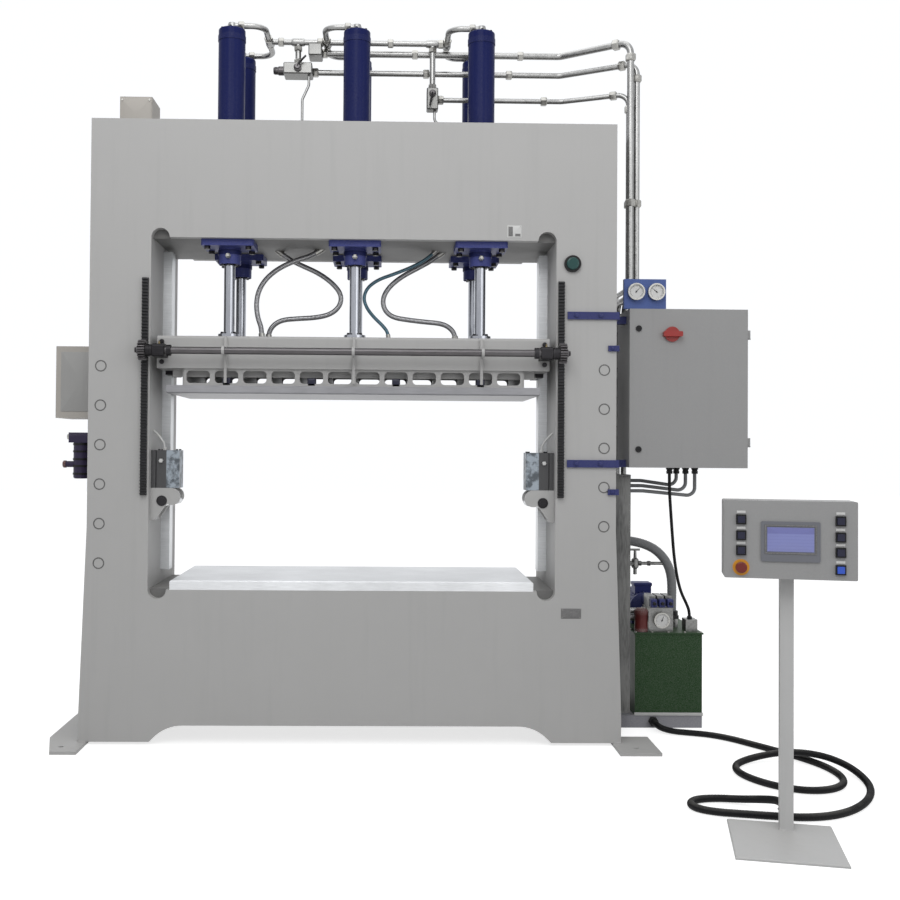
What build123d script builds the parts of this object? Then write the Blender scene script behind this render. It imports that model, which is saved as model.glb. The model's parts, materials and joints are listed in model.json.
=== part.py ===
from build123d import *
import math
import os

os.makedirs("parts", exist_ok=True)

# Portal hydraulic press, millimetres. The origin is on the floor at the middle of the frame.
# X runs to the right, Y away from the operator and Z up. The ram stands at its rest height.

# Shared allowances
cut_over = 10.0  # how far a cutting tool runs past a face
hole_gap = 0.5  # radial room of a fixed bar or bolt in its hole
slide_gap = 0.4  # flat room between a guide and its shoe
pin_gap = 0.05  # radial room of a running pin or shaft
seat_gap = 0.3  # room between a fitted piece and its seat

# Frame of two thick plates
frame_width = 2600.0
frame_depth = 700.0
frame_top = 3075.0
plate_t = 45.0
flare_out = 30.0
flare_top = 1060.0
flare_low = 150.0
arch_foot_w = 345.0
arch_rise = 80.0
arch_corner_r = 200.0
column_w = 300.0
window_low = 757.0
window_top = 2490.0
relief_r = 45.0

# Round ties that hold the two plates apart in each column
tie_count = 6
tie_side_gap = 2.5
tie_d = 55.0
tie_low = 885.0
tie_pitch = 193.4

# Webs and decks between the plates
side_t = 30.0
web_t = 35.0
soffit_t = 45.0
crown_deck_t = 30.0
crown_deck_drop = 15.0
bed_deck_t = 45.0
bed_rib_t = 30.0
bed_rib_shares = (-0.5, 0.0, 0.5)

# Foot plates with the floor anchor holes
foot_t = 15.0
foot_under = 40.0
foot_reach = 160.0
foot_over_y = 180.0
foot_short = 310.0
foot_chamfer_x = 75.0
foot_chamfer_y = 260.0
anchor_inset_x = 105.0
anchor_inset_y = 90.0
anchor_hole_d = 26.0

# Bolster plate on the bed
bolster_side_gap = 107.0
bolster_t = 46.0
bolster_chamfer = 6.0

# Guide rails, racks and latches at the column sides
rail_w = 80.0
rail_proud = 45.0
rail_end_gap = 20.0
rack_out = 24.0
rack_w = 30.0
rack_rise = 465.0
rack_pitch_h = 22.0
gear_module = 5.0
pinion_teeth = 18
pinion_w = 34.0
tip_share = 0.9
root_share = 1.25
tooth_tip_share = 0.10
tooth_root_share = 0.31
rack_teeth = 68

latch_set_back = 50.0
latch_depth = 120.0
latch_rise = 338.0
latch_h = 345.0
latch_back_t = 23.0
latch_cheek_t = 15.0
latch_cheek_h = 158.0
latch_reach = 122.0
latch_nose_r = 42.0
latch_pivot_out = 55.0
latch_pivot_rise = 95.0
latch_pin_r = 20.0
latch_hub_r = 30.0
latch_arm_h = 34.0
latch_arm_l = 68.0
latch_block_w = 116.0
latch_block_inset = 5.0

# Cylinders through the crown, three in each of two rows
cyl_pitch = 632.0
cyl_row = 220.0
barrel_d = 135.0
barrel_bore = 105.0
barrel_rise = 493.0
cap_t = 30.0
cap_edge_r = 8.0
flange_w = 260.0
flange_l = 200.0
flange_t = 32.0
flange_bore = 90.0
gland_d = 111.0
gland_h = 82.0
rod_d = 55.0
rod_foot_d = 110.0
rod_foot_t = 18.0
piston_h = 60.0
piston_gap = 0.1
piston_share = 0.45
bolt_d = 20.0
bolt_head_d = 30.0
bolt_head_h = 16.0
bolt_inset = 28.0

# Ram
ram_drop = 483.0
beam_h = 161.0
rib_h = 84.0
platen_t = 40.0
ram_side_gap = 30.0
ram_set_back = 20.0
beam_wall = 25.0
beam_edge_r = 14.0
ram_rib_count = 13
ram_rib_span_share = 0.928
ram_rib_t = 15.0
strip_w = 22.0
strip_proud = 10.0
platen_inset = 45.0
shoe_t = 40.0
shoe_w = 230.0
shoe_drop = 20.0

# Levelling shaft with its pinions and bearings
shaft_d = 35.0
shaft_drop = 81.0
shaft_over = 26.0
bearing_w = 55.0
bearing_h = 62.0
bearing_reach = 30.0

# Oil pipes above the crown
loop_r = 15.0
pipe_wall = 3.0
loop_reach = 165.0
loop_rise = 22.0
loop_elbow_r = 19.0
loop_bend = 70.0
line_y = 45.0
header_rs = (17.5, 15.0, 13.0)
header_drops = (20.0, 123.0, 275.0)
header_ys = (45.0, 45.0, 0.0)
header_bend = 60.0
kink_in = 227.0
riser_out = 100.0
riser_x_steps = (0, 1, 0)
riser_y_steps = (0, 1, 2)
riser_back_steps = (0, 0, 1)
riser_step = 38.0
riser_set_back = 165.0
riser_y_step = 22.0
riser_back_step = 45.0
riser_back_gap = 90.0
riser_over_cab = 70.0
unit_port_rise = 64.0
unit_port_steps = (0, 1, 0)
unit_port_step = 36.0
valve_one_x = -315.0
valve_one_w = 150.0
valve_one_h = 60.0
valve_two_x = 392.0
valve_two_w = 60.0
valve_two_h = 115.0
valve_depth = 70.0
tee_block_x = -225.0
tee_block_w = 70.0
tee_block_drop = 34.0
drain_r = 7.0
drain_wall = 1.5
drain_bend = 30.0
drain_shift = 18.0
drain_sways = (-34.0, 95.0)
drain_run = 75.0
drain_lift = 22.0

# Electric cabinet at the right
cab_gap = 85.0
cab_w = 600.0
cab_h = 800.0
cab_depth = 300.0
cab_low = 1370.0
cab_set_back = 90.0
sheet_t = 2.5
door_t = 20.0
door_gap = 2.0
hinge_out = 9.0
hinge_ring_r = 8.0
hinge_pin_r = 4.0
hinge_h = 40.0
hinge_lug_t = 6.0
hinge_lug_lip = 5.0
hinge_shares = (0.14, 0.82)
switch_x_share = 0.355
switch_z_share = 0.84
switch_base_r = 38.0
switch_base_t = 10.0
switch_grip_l = 96.0
switch_grip_w = 26.0
switch_grip_t = 34.0
switch_stem_r = 6.0
lock_x_share = 0.075
lock_z_shares = (0.115, 0.875)
lock_r = 15.0
lock_t = 7.0
lock_stem_r = 9.0
lock_cam_l = 42.0
lock_cam_t = 3.0
bracket_h = 37.0
bracket_t = 12.0
bracket_rack_gap = 16.0
bracket_back_l = 290.0
bracket_arm_w = 60.0
bracket_z_shares = (0.0, 0.915)
clamp_zs = (1235.0, 1945.0)
clamp_h = 28.0
clamp_face_l = 42.0
clamp_back_l = 80.0
gland_r = 14.0
gland_l = 30.0
gland_x_shares = (0.392, 0.47, 0.55, 0.63)
gland_y_share = 0.36
gland_row_gap = 45.0
conduit_gland_z = 965.0
conduit_gland_y_gap = 100.0
skid_gland_x = 95.0
skid_gland_z = 36.0
post_gland_z = 72.0
cable_gland_r = 22.0

# Gauge panel on the cabinet roof
gauge_panel_w = 212.0
gauge_panel_h = 150.0
gauge_panel_t = 30.0
gauge_panel_out = 28.0
gauge_panel_back = 5.0
gauge_r = 41.0
gauge_t = 26.0
gauge_rim = 5.0
gauge_recess = 8.0
gauge_x_shares = (0.27, 0.75)
gauge_z_share = 0.56

# Boxes and the air unit on the frame
top_box_w = 165.0
top_box_l = 200.0
top_box_h = 185.0
top_box_inset = 172.0
top_box_y = -50.0
side_box_reach = 233.0
side_box_l = 300.0
side_box_low = 1601.0
side_box_h = 368.0
side_box_y = 50.0
box_edge_r = 5.0
air_y = -50.0
air_x_out = 110.0
air_low = 1290.0
air_bowl_r = 40.0
air_bowl_h = 185.0
air_head_w = 112.0
air_head_l = 84.0
air_head_h = 52.0
air_arm_w = 36.0
air_arm_h = 30.0
air_knob_r = 16.0
air_knob_l = 42.0
air_knob_z = 1364.0

# Cable trunk beside the right column
trunk_gap = 42.0
trunk_w = 90.0
trunk_l = 100.0
trunk_y = -30.0
trunk_low = 100.0
trunk_top = 1330.0
trunk_wall = 3.0
trunk_foot_h = 44.0

# Hydraulic unit on the floor
tank_gap = 180.0
tank_w = 354.0
tank_lead_y = 110.0
tank_l = 600.0
tank_low = 64.0
tank_h = 426.0
tank_wall = 4.0
tank_lid_t = 8.0
tank_lid_over = 6.0
skid_rail_w = 60.0
skid_left = 95.0
skid_floor_t = 6.0
manifold_x = 80.0
manifold_w = 130.0
manifold_y = 40.0
manifold_l = 140.0
manifold_h = 125.0
valve_count = 3
valve_w = 34.0
valve_l = 120.0
valve_h = 62.0
unit_gauge_r = 40.0
unit_gauge_t = 26.0
filter_r = 33.0
filter_h = 120.0
filter_x = 40.0
filter_y = 40.0
boss_r = 33.0
boss_h = 62.0
boss_x = 246.0
boss_y = 212.0
term_x = 280.0
term_y = 46.0
term_w = 62.0
term_l = 80.0
term_h = 62.0
motor_r = 78.0
motor_l = 270.0
motor_x = 110.0
motor_y = 250.0
motor_lift = 92.0
motor_foot_w = 120.0
motor_fan_r = 82.0
motor_fan_l = 50.0
motor_box_w = 90.0
motor_box_h = 50.0

# Control stand
stand_out = 359.0
stand_ahead = 1353.0
stand_turn = -13.0
stand_base_w = 390.0
stand_base_l = 430.0
stand_base_t = 10.0
stand_base_chamfer = 4.0
post_w = 50.0
post_wall = 3.0
post_back = 144.0
post_shift = 19.0
panel_w = 478.0
panel_h = 293.0
panel_depth = 150.0
panel_low = 978.0
panel_wall = 3.0
panel_corner_r = 6.0
screen_w = 212.0
screen_h = 150.0
screen_t = 6.0
screen_body_w = 190.0
screen_body_h = 128.0
screen_body_l = 40.0
screen_z_share = 0.48
button_x_share = 0.372
button_z_shares = (0.755, 0.55, 0.357, 0.138)
button_w = 26.0
button_t = 9.0
button_lift = 6.0
button_stem_r = 8.0
button_stem_l = 22.0
estop_r = 21.0
estop_t = 16.0
estop_stem_r = 11.0

# Signal lamp on the front face
lamp_out = 79.0
lamp_drop = 113.0
lamp_bezel_r = 40.0
lamp_bezel_t = 12.0
lamp_lens_r = 31.0
lamp_lens_t = 12.0
lamp_stem_r = 11.0
lamp_lens_edge_r = 7.0

# Free hoses and cables
hose_r = 13.0
thin_hose_r = 9.0
conduit_r = 26.0
panel_cable_r = 16.0
unit_cable_r = 8.0
arc_share = 0.45

# Bent conduits from the cabinet's floor to the trunk
bend_r = 9.0
bend_wall = 1.5
bend_turn_r = 40.0
bend_drop = 40.0
bend_step = 26.0
bend_rise = 24.0
bend_run = 70.0
bend_y_step = 26.0

# Worked out from the sizes above
half_w = frame_width / 2
window_half = half_w - column_w
half_d = frame_depth / 2
face_y = -half_d
inner_y = half_d - plate_t
base_half = half_w + flare_out
arch_half = base_half - arch_foot_w
barrel_top = frame_top + barrel_rise
crown_deck_top = frame_top - crown_deck_drop
ram_front = face_y + ram_set_back
ram_half = window_half - ram_side_gap
platen_half = ram_half - platen_inset
bolster_half = window_half - bolster_side_gap
rack_x = window_half + rack_out
rack_low = window_low + rack_rise
latch_low = window_low + latch_rise
latch_top = latch_low + latch_h
latch_cheek_top = latch_low + latch_cheek_h
latch_pivot_z = latch_low + latch_pivot_rise
tie_x = half_w - side_t - tie_side_gap - tie_d / 2
lamp_x = window_half + lamp_out
lamp_z = window_top - lamp_drop
ram_top = window_top - ram_drop
beam_low = ram_top - beam_h
platen_top = beam_low - rib_h
platen_low = platen_top - platen_t
pinion_r = gear_module * pinion_teeth / 2
tooth_pitch = math.pi * gear_module
shaft_y = face_y - rack_pitch_h - pinion_r
shaft_z = ram_top - shaft_drop
cyl_xs = [-cyl_pitch, 0, cyl_pitch]
cyl_spots = [(x, y) for y in (-cyl_row, cyl_row) for x in cyl_xs]
cab_x = half_w + cab_gap
cab_y = face_y + cab_set_back
cab_top = cab_low + cab_h
shell_y = cab_y + door_t + door_gap
riser_back_y = cab_y + cab_depth + riser_back_gap
tank_x = half_w + tank_gap
tank_y = riser_back_y - tank_lead_y
tank_top = tank_low + tank_h
lid_top = tank_top + tank_lid_t
on_floor = (Align.CENTER, Align.CENTER, Align.MIN)


def slab(x0, x1, y0, y1, z0, z1):
    # box between two opposite corners
    centre = ((x0 + x1) / 2, (y0 + y1) / 2, (z0 + z1) / 2)
    return Pos(*centre) * Box(x1 - x0, y1 - y0, z1 - z0)


def bar(base, direction, radius, length):
    # round bar that starts at base and runs along direction
    return Plane(origin=base, z_dir=direction) * Cylinder(radius, length, align=on_floor)


def prism_y(points, y0, y1):
    # outline in X and Z, drawn out along Y
    face = make_face(Polyline(*[(x, y0, z) for x, z in points], close=True))
    return extrude(face, amount=y1 - y0, dir=(0, 1, 0))


def prism_x(points, x0, x1):
    # outline in Y and Z, drawn out along X
    face = make_face(Polyline(*[(x0, y, z) for y, z in points], close=True))
    return extrude(face, amount=x1 - x0, dir=(1, 0, 0))


def mirrored(shape):
    return mirror(shape, about=Plane.YZ)


def save(name, *shapes):
    solids = [solid for shape in shapes for solid in shape.solids()]
    body = solids[0] if len(solids) == 1 else Compound(children=solids)
    body.label = name
    export_step(body, f"parts/{name}.step")


def bent_pipe(points, radius, bend, wall):
    # steel pipe with one bend radius, straight between its bends
    path = FilletPolyline(*points, radius=bend)
    start = Plane(origin=path @ 0, z_dir=path % 0)
    ring = start * (Circle(radius) - Circle(radius - wall))
    return sweep(ring, path=path)


def cord_radii(points):
    # each arc is as large as its two runs allow
    runs = [Vector(*b) - Vector(*a) for a, b in zip(points, points[1:])]
    radii = []
    for before, after in zip(runs, runs[1:]):
        turn = math.radians(before.get_angle(after))
        shorter = min(before.length, after.length)
        radii.append(arc_share * shorter / math.tan(turn / 2))
    return radii


def cord(name, points, radius):
    # limp tube of straight runs joined by tangent arcs
    radii = cord_radii(points)
    path = FilletPolyline(*points, radius=radii)
    section = Plane(origin=path @ 0, z_dir=path % 0) * Circle(radius)
    tube = sweep(section, path=path)
    share = tube.volume / (math.pi * radius**2 * path.length)
    spread = "-".join(f"{value:.0f}" for value in (min(radii), max(radii)))
    print(f"{name}: length {path.length:.0f}, radii {spread}, volume share {share:.4f}")
    save(name, tube)


# Frame plates, with the work window, the foot arch and the tie holes
def frame_plate(y0, y1):
    half = [
        (half_w, frame_top),
        (half_w, flare_top),
        (base_half, flare_low),
        (base_half, foot_t),
        (arch_half, foot_t),
        (arch_half - arch_rise, foot_t + arch_rise),
    ]
    outline = half + [(-x, z) for x, z in reversed(half)]
    plate = prism_y(outline, y0, y1)
    arch_z = foot_t + arch_rise
    corners = plate.edges().filter_by(Axis.Y).filter_by_position(Axis.Z, arch_z - slide_gap, arch_z + slide_gap)
    plate = fillet(corners, arch_corner_r)
    low, high = y0 - cut_over, y1 + cut_over
    plate -= slab(-window_half, window_half, low, high, window_low, window_top)
    for x in (-window_half + relief_r, window_half - relief_r):
        for z in (window_low, window_top):
            plate -= bar((x, low, z), (0, 1, 0), relief_r, high - low)
    for x, z in tie_spots:
        plate -= bar((x, low, z), (0, 1, 0), tie_d / 2 + hole_gap, high - low)
    return plate


tie_spots = [(side * tie_x, tie_low + step * tie_pitch) for side in (-1, 1) for step in range(tie_count)]
front_plate = frame_plate(face_y, -inner_y)
lamp_hole = bar((lamp_x, face_y - cut_over, lamp_z), (0, 1, 0), lamp_stem_r + hole_gap, plate_t + 2 * cut_over)
save("front_plate", front_plate - lamp_hole)
save("rear_plate", frame_plate(inner_y, half_d))
save("column_ties", *[bar((x, face_y, z), (0, 1, 0), tie_d / 2, frame_depth) for x, z in tie_spots])


# Column boxes: the outer side plate follows the flare, the inner web carries the guides
side_outline = [
    (half_w - side_t, frame_top),
    (half_w, frame_top),
    (half_w, flare_top),
    (base_half, flare_low),
    (base_half, foot_t),
    (base_half - side_t, foot_t),
    (base_half - side_t, flare_low),
    (half_w - side_t, flare_top),
]
side_plate = prism_y(side_outline, -inner_y, inner_y)
web = slab(window_half, window_half + web_t, -inner_y, inner_y, foot_t + arch_rise, crown_deck_top - crown_deck_t)
save("column_plates", side_plate, mirrored(side_plate), web, mirrored(web))


# Decks between the plates
def cylinder_holes(deck, z0, z1):
    for x, y in cyl_spots:
        deck -= bar((x, y, z0 - cut_over), (0, 0, 1), barrel_d / 2 + hole_gap, z1 - z0 + 2 * cut_over)
    return deck


soffit_top = window_top + soffit_t
soffit = slab(-window_half, window_half, -inner_y, inner_y, window_top, soffit_top)
soffit = cylinder_holes(soffit, window_top, soffit_top)
crown_deck_half = half_w - side_t
crown_deck_low = crown_deck_top - crown_deck_t
crown_deck = slab(-crown_deck_half, crown_deck_half, -inner_y, inner_y, crown_deck_low, crown_deck_top)
crown_deck = cylinder_holes(crown_deck, crown_deck_low, crown_deck_top)
bed_deck = slab(-window_half, window_half, -inner_y, inner_y, window_low - bed_deck_t, window_low)
bed_ribs = []
for rib_share in bed_rib_shares:
    rib_x = rib_share * window_half
    rib_z = window_low - bed_deck_t
    bed_ribs.append(
        slab(rib_x - bed_rib_t / 2, rib_x + bed_rib_t / 2, -inner_y, inner_y, foot_t + arch_rise, rib_z)
    )
save("frame_decks", soffit, crown_deck, bed_deck, *bed_ribs)


# Foot plates: one long strip at the left, two short ones at the right
foot_in = base_half - foot_under
foot_out = base_half + foot_reach
foot_end = half_d + foot_over_y
anchor_x = foot_out - anchor_inset_x
anchor_y = foot_end - anchor_inset_y


def anchored(foot, x, ys):
    for y in ys:
        foot -= bar((x, y, -cut_over), (0, 0, 1), anchor_hole_d / 2, foot_t + 2 * cut_over)
    return foot


left_points = [
    (-foot_in, -foot_end),
    (-foot_out + foot_chamfer_x, -foot_end),
    (-foot_out, -foot_end + foot_chamfer_y),
    (-foot_out, foot_end - foot_chamfer_y),
    (-foot_out + foot_chamfer_x, foot_end),
    (-foot_in, foot_end),
]
left_foot = extrude(make_face(Polyline(*left_points, close=True)), amount=foot_t, dir=(0, 0, 1))
left_foot = anchored(left_foot, -anchor_x, (-anchor_y, anchor_y))
right_front_foot = slab(foot_in, foot_out, -foot_end, -foot_end + foot_short, 0, foot_t)
right_rear_foot = slab(foot_in, foot_out, foot_end - foot_short, foot_end, 0, foot_t)
save(
    "foot_plates",
    left_foot,
    anchored(right_front_foot, anchor_x, (-anchor_y,)),
    anchored(right_rear_foot, anchor_x, (anchor_y,)),
)

bolster = slab(-bolster_half, bolster_half, -half_d, half_d, window_low, window_low + bolster_t)
bolster = chamfer(bolster.faces().sort_by(Axis.Z)[-1].edges(), bolster_chamfer)
save("bolster_plate", bolster)

rail = slab(
    window_half - rail_proud,
    window_half,
    -rail_w / 2,
    rail_w / 2,
    window_low + bolster_t + rail_end_gap,
    window_top - rail_end_gap,
)
save("guide_rails", rail, mirrored(rail))


# Racks: straight teeth towards the front, a gap at the shaft's rest height
rack_root_y = face_y - rack_pitch_h + root_share * gear_module
rack_tip_y = face_y - rack_pitch_h - tip_share * gear_module
rack_base_z = shaft_z - tooth_pitch * round((shaft_z - rack_low) / tooth_pitch)
rack_points = [(face_y, rack_base_z), (rack_root_y, rack_base_z)]
for tooth in range(rack_teeth):
    middle = rack_base_z + (tooth + 1 / 2) * tooth_pitch
    for y, tooth_share in (
        (rack_root_y, -tooth_root_share),
        (rack_tip_y, -tooth_tip_share),
        (rack_tip_y, tooth_tip_share),
        (rack_root_y, tooth_root_share),
    ):
        rack_points.append((y, middle + tooth_share * tooth_pitch))
rack_end_z = rack_base_z + rack_teeth * tooth_pitch
rack_points += [(rack_root_y, rack_end_z), (face_y, rack_end_z)]
rack = prism_x(rack_points, rack_x - rack_w / 2, rack_x + rack_w / 2)
save("levelling_racks", rack, mirrored(rack))


# Safety latches at both window sides: bracket, air cylinder block and swinging pawl
latch_back_x = window_half - latch_back_t
latch_y0 = face_y + latch_set_back
latch_y1 = latch_y0 + latch_depth
pivot_x = window_half - latch_pivot_out
nose_x = latch_back_x - latch_reach + latch_nose_r
nose_z = latch_cheek_top - latch_nose_r
latch_back = slab(latch_back_x, window_half, latch_y0, latch_y1, latch_low, latch_top)


def latch_cheek(y0, y1):
    points = [(latch_back_x, latch_low), (latch_back_x, latch_cheek_top), (nose_x, latch_cheek_top), (nose_x, nose_z)]
    cheek = prism_y(points, y0, y1) + bar((nose_x, y0, nose_z), (0, 1, 0), latch_nose_r, y1 - y0)
    bore = bar((pivot_x, y0 - cut_over, latch_pivot_z), (0, 1, 0), latch_pin_r, y1 - y0 + 2 * cut_over)
    return cheek - bore


latch_bracket = latch_back + latch_cheek(latch_y0, latch_y0 + latch_cheek_t)
latch_bracket += latch_cheek(latch_y1 - latch_cheek_t, latch_y1)
latch_block = slab(
    latch_back_x - latch_block_w,
    latch_back_x,
    latch_y0 + latch_block_inset,
    latch_y1 - latch_block_inset,
    latch_cheek_top,
    latch_top,
)
latch_block = fillet(latch_block.edges().filter_by(Axis.Z), latch_block_inset)
save("latch_brackets", latch_bracket, mirrored(latch_bracket), latch_block, mirrored(latch_block))

pawl_y0 = latch_y0 + latch_cheek_t + slide_gap
pawl_y1 = latch_y1 - latch_cheek_t - slide_gap
pawl = bar((pivot_x, pawl_y0, latch_pivot_z), (0, 1, 0), latch_hub_r, pawl_y1 - pawl_y0)
pawl += slab(
    pivot_x - latch_arm_l,
    pivot_x,
    pawl_y0,
    pawl_y1,
    latch_pivot_z - latch_arm_h / 2,
    latch_pivot_z + latch_arm_h / 2,
)
pawl += bar((pivot_x - latch_arm_l, pawl_y0, latch_pivot_z), (0, 1, 0), latch_arm_h / 2, pawl_y1 - pawl_y0)
pawl += bar((pivot_x, latch_y0, latch_pivot_z), (0, 1, 0), latch_pin_r - pin_gap, latch_depth)
save("latch_pawl_right", pawl)
save("latch_pawl_left", mirrored(pawl))


# Cylinders
barrels = []
flanges = []
glands = []
rods = []
bolts = []
flange_low = window_top - flange_t
gland_low = flange_low - gland_h
bore_top = barrel_top - cap_t
piston_low = window_top + piston_share * (bore_top - window_top)
for x, y in cyl_spots:
    barrel = bar((x, y, window_top), (0, 0, 1), barrel_d / 2, barrel_top - window_top)
    barrel = fillet(barrel.edges().sort_by(Axis.Z)[-1], cap_edge_r)
    barrel -= bar((x, y, window_top - cut_over), (0, 0, 1), barrel_bore / 2, bore_top - window_top + cut_over)
    barrels.append(barrel)

    flange = slab(x - flange_w / 2, x + flange_w / 2, y - flange_l / 2, y + flange_l / 2, flange_low, window_top)
    flange = chamfer(flange.edges().filter_by(Axis.Z), cap_edge_r)
    flange -= bar((x, y, flange_low - cut_over), (0, 0, 1), flange_bore / 2, flange_t + 2 * cut_over)
    gland = bar((x, y, gland_low), (0, 0, 1), gland_d / 2, gland_h)
    gland -= bar((x, y, gland_low - cut_over), (0, 0, 1), rod_d / 2 + pin_gap, gland_h + 2 * cut_over)
    glands.append(gland)

    rod = bar((x, y, ram_top), (0, 0, 1), rod_d / 2, piston_low - ram_top)
    rod += bar((x, y, ram_top), (0, 0, 1), rod_foot_d / 2, rod_foot_t)
    rod += bar((x, y, piston_low), (0, 0, 1), barrel_bore / 2 - piston_gap, piston_h)
    rods.append(rod)

    for across in (-1, 1):
        for along in (-1, 1):
            bolt_x = x + across * (flange_w / 2 - bolt_inset)
            bolt_y = y + along * (flange_l / 2 - bolt_inset)
            hole = bar((bolt_x, bolt_y, flange_low - cut_over), (0, 0, 1), bolt_d / 2 + hole_gap, flange_t + 2 * cut_over)
            flange -= hole
            head_base = Plane(origin=(bolt_x, bolt_y, flange_low - bolt_head_h))
            head = extrude(head_base * RegularPolygon(bolt_head_d / 2, 6), amount=bolt_head_h)
            head += bar((bolt_x, bolt_y, flange_low), (0, 0, 1), bolt_d / 2, flange_t)
            bolts.append(head)
    flanges.append(flange)
save("cylinder_barrels", *barrels)
save("cylinder_flanges", *flanges, *glands)
save("flange_bolts", *bolts)
save("piston_rods", *rods)


# Ram: a beam open at the bottom with cross ribs, on a platen
beam = slab(-ram_half, ram_half, ram_front, -ram_front, beam_low, ram_top)
beam_top_edges = beam.faces().sort_by(Axis.Z)[-1].edges().filter_by(Axis.X)
beam = fillet(beam_top_edges, beam_edge_r)
cavity_half = ram_half - shoe_t - beam_wall
cavity_y = -ram_front - beam_wall
beam -= slab(-cavity_half, cavity_half, -cavity_y, cavity_y, beam_low - cut_over, ram_top - beam_wall)
for side in (-1, 1):
    pocket_x = (side * (ram_half - shoe_t), side * (ram_half + cut_over))
    beam -= slab(min(pocket_x), max(pocket_x), -shoe_w / 2, shoe_w / 2, beam_low - cut_over, ram_top + cut_over)
ram_rib_pitch = 2 * cavity_half * ram_rib_span_share / (ram_rib_count - 1)
for number in range(ram_rib_count):
    rib_x = (number - (ram_rib_count - 1) / 2) * ram_rib_pitch
    beam += slab(rib_x - ram_rib_t / 2, rib_x + ram_rib_t / 2, -cavity_y, cavity_y, platen_top, ram_top - beam_wall)
for x in cyl_xs:
    for y0, y1 in ((ram_front - strip_proud, ram_front), (-ram_front, -ram_front + strip_proud)):
        beam += slab(x - strip_w / 2, x + strip_w / 2, y0, y1, beam_low, ram_top - beam_edge_r)
save("ram_beam", beam)

platen = slab(-platen_half, platen_half, ram_front, -ram_front, platen_low, platen_top)
save("ram_platen", chamfer(platen.faces().sort_by(Axis.Z)[0].edges(), bolster_chamfer))

shoe_in = ram_half - shoe_t
shoe = slab(shoe_in, ram_half, -shoe_w / 2, shoe_w / 2, beam_low - shoe_drop, ram_top - beam_edge_r)
groove_x = window_half - rail_proud - slide_gap
groove_y = rail_w / 2 + slide_gap
shoe -= slab(groove_x, ram_half + cut_over, -groove_y, groove_y, beam_low - shoe_drop - cut_over, ram_top)
save("guide_shoes", shoe, mirrored(shoe))


# Levelling shaft, turned in one piece with its two pinions
pinion_root_r = pinion_r - root_share * gear_module
pinion_tip_r = pinion_r + tip_share * gear_module
pinion_points = []
for tooth in range(pinion_teeth):
    for radius, tooth_share in (
        (pinion_root_r, -tooth_root_share),
        (pinion_tip_r, -tooth_tip_share),
        (pinion_tip_r, tooth_tip_share),
        (pinion_root_r, tooth_root_share),
    ):
        angle = 2 * math.pi * (tooth + tooth_share) / pinion_teeth
        pinion_points.append((shaft_y + radius * math.cos(angle), shaft_z + radius * math.sin(angle)))
pinion = prism_x(pinion_points, rack_x - pinion_w / 2, rack_x + pinion_w / 2)
shaft_half = rack_x + shaft_over
shaft = bar((-shaft_half, shaft_y, shaft_z), (1, 0, 0), shaft_d / 2, 2 * shaft_half)
save("levelling_shaft", shaft + pinion + mirrored(pinion))

bearing = slab(
    ram_half - bearing_w,
    ram_half,
    shaft_y - bearing_reach,
    ram_front,
    shaft_z - bearing_h / 2,
    shaft_z + bearing_h / 2,
)
bearing = fillet(bearing.edges().filter_by(Axis.X).group_by(Axis.Y)[0], beam_edge_r)
bearing_bore = bar((0, shaft_y, shaft_z), (1, 0, 0), shaft_d / 2 + pin_gap, ram_half + cut_over)
save("shaft_bearings", bearing - bearing_bore, mirrored(bearing - bearing_bore))


# Oil pipes: one loop for each pair of cylinders, a line joining them and three headers
loop_z = barrel_top + loop_rise
line_z = loop_z
pipes = []
loop_sides = (1, -1, -1)
tee_xs = []
for x, side in zip(cyl_xs, loop_sides):
    tee_x = x + side * loop_reach
    tee_xs.append(tee_x)
    loop_points = [
        (x, -cyl_row, barrel_top),
        (x, -cyl_row, loop_z),
        (tee_x, -cyl_row, loop_z),
        (tee_x, cyl_row, loop_z),
        (x, cyl_row, loop_z),
        (x, cyl_row, barrel_top),
    ]
    loop_bends = [loop_elbow_r, loop_bend, loop_bend, loop_elbow_r]
    pipes.append(bent_pipe(loop_points, loop_r, loop_bends, pipe_wall))
for left, right in zip(tee_xs, tee_xs[1:]):
    pipes.append(bar((left + loop_r, 0, line_z), (1, 0, 0), loop_r, right - left - 2 * loop_r))

line_low = line_z - loop_r
valve_one_low = barrel_top - header_drops[1] - valve_one_h / 2
valve_one_top = valve_one_low + valve_one_h
valve_two_low = barrel_top - header_drops[2] - valve_two_h / 2
valve_two_top = valve_two_low + valve_two_h
pipes.append(bar((valve_one_x, 0, valve_one_top), (0, 0, 1), loop_r, line_low - valve_one_top))
pipes.append(bar((valve_two_x, 0, valve_two_top), (0, 0, 1), loop_r, line_low - valve_two_top))
drain_tops = ((valve_one_x + valve_one_w / 2, valve_one_low), (valve_two_x + valve_two_w / 2, valve_two_low))
for (valve_side, drain_top), sway in zip(drain_tops, drain_sways):
    drain_x = valve_side - drain_shift
    drain_points = [
        (drain_x, 0, drain_top),
        (drain_x, 0, drain_top - drain_lift - drain_bend),
        (drain_x + sway, 0, drain_top - drain_lift - drain_bend - drain_run),
        (drain_x + sway, 0, crown_deck_top),
    ]
    pipes.append(bent_pipe(drain_points, drain_r, drain_bend, drain_wall))
save("oil_pipes", *pipes)

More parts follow.
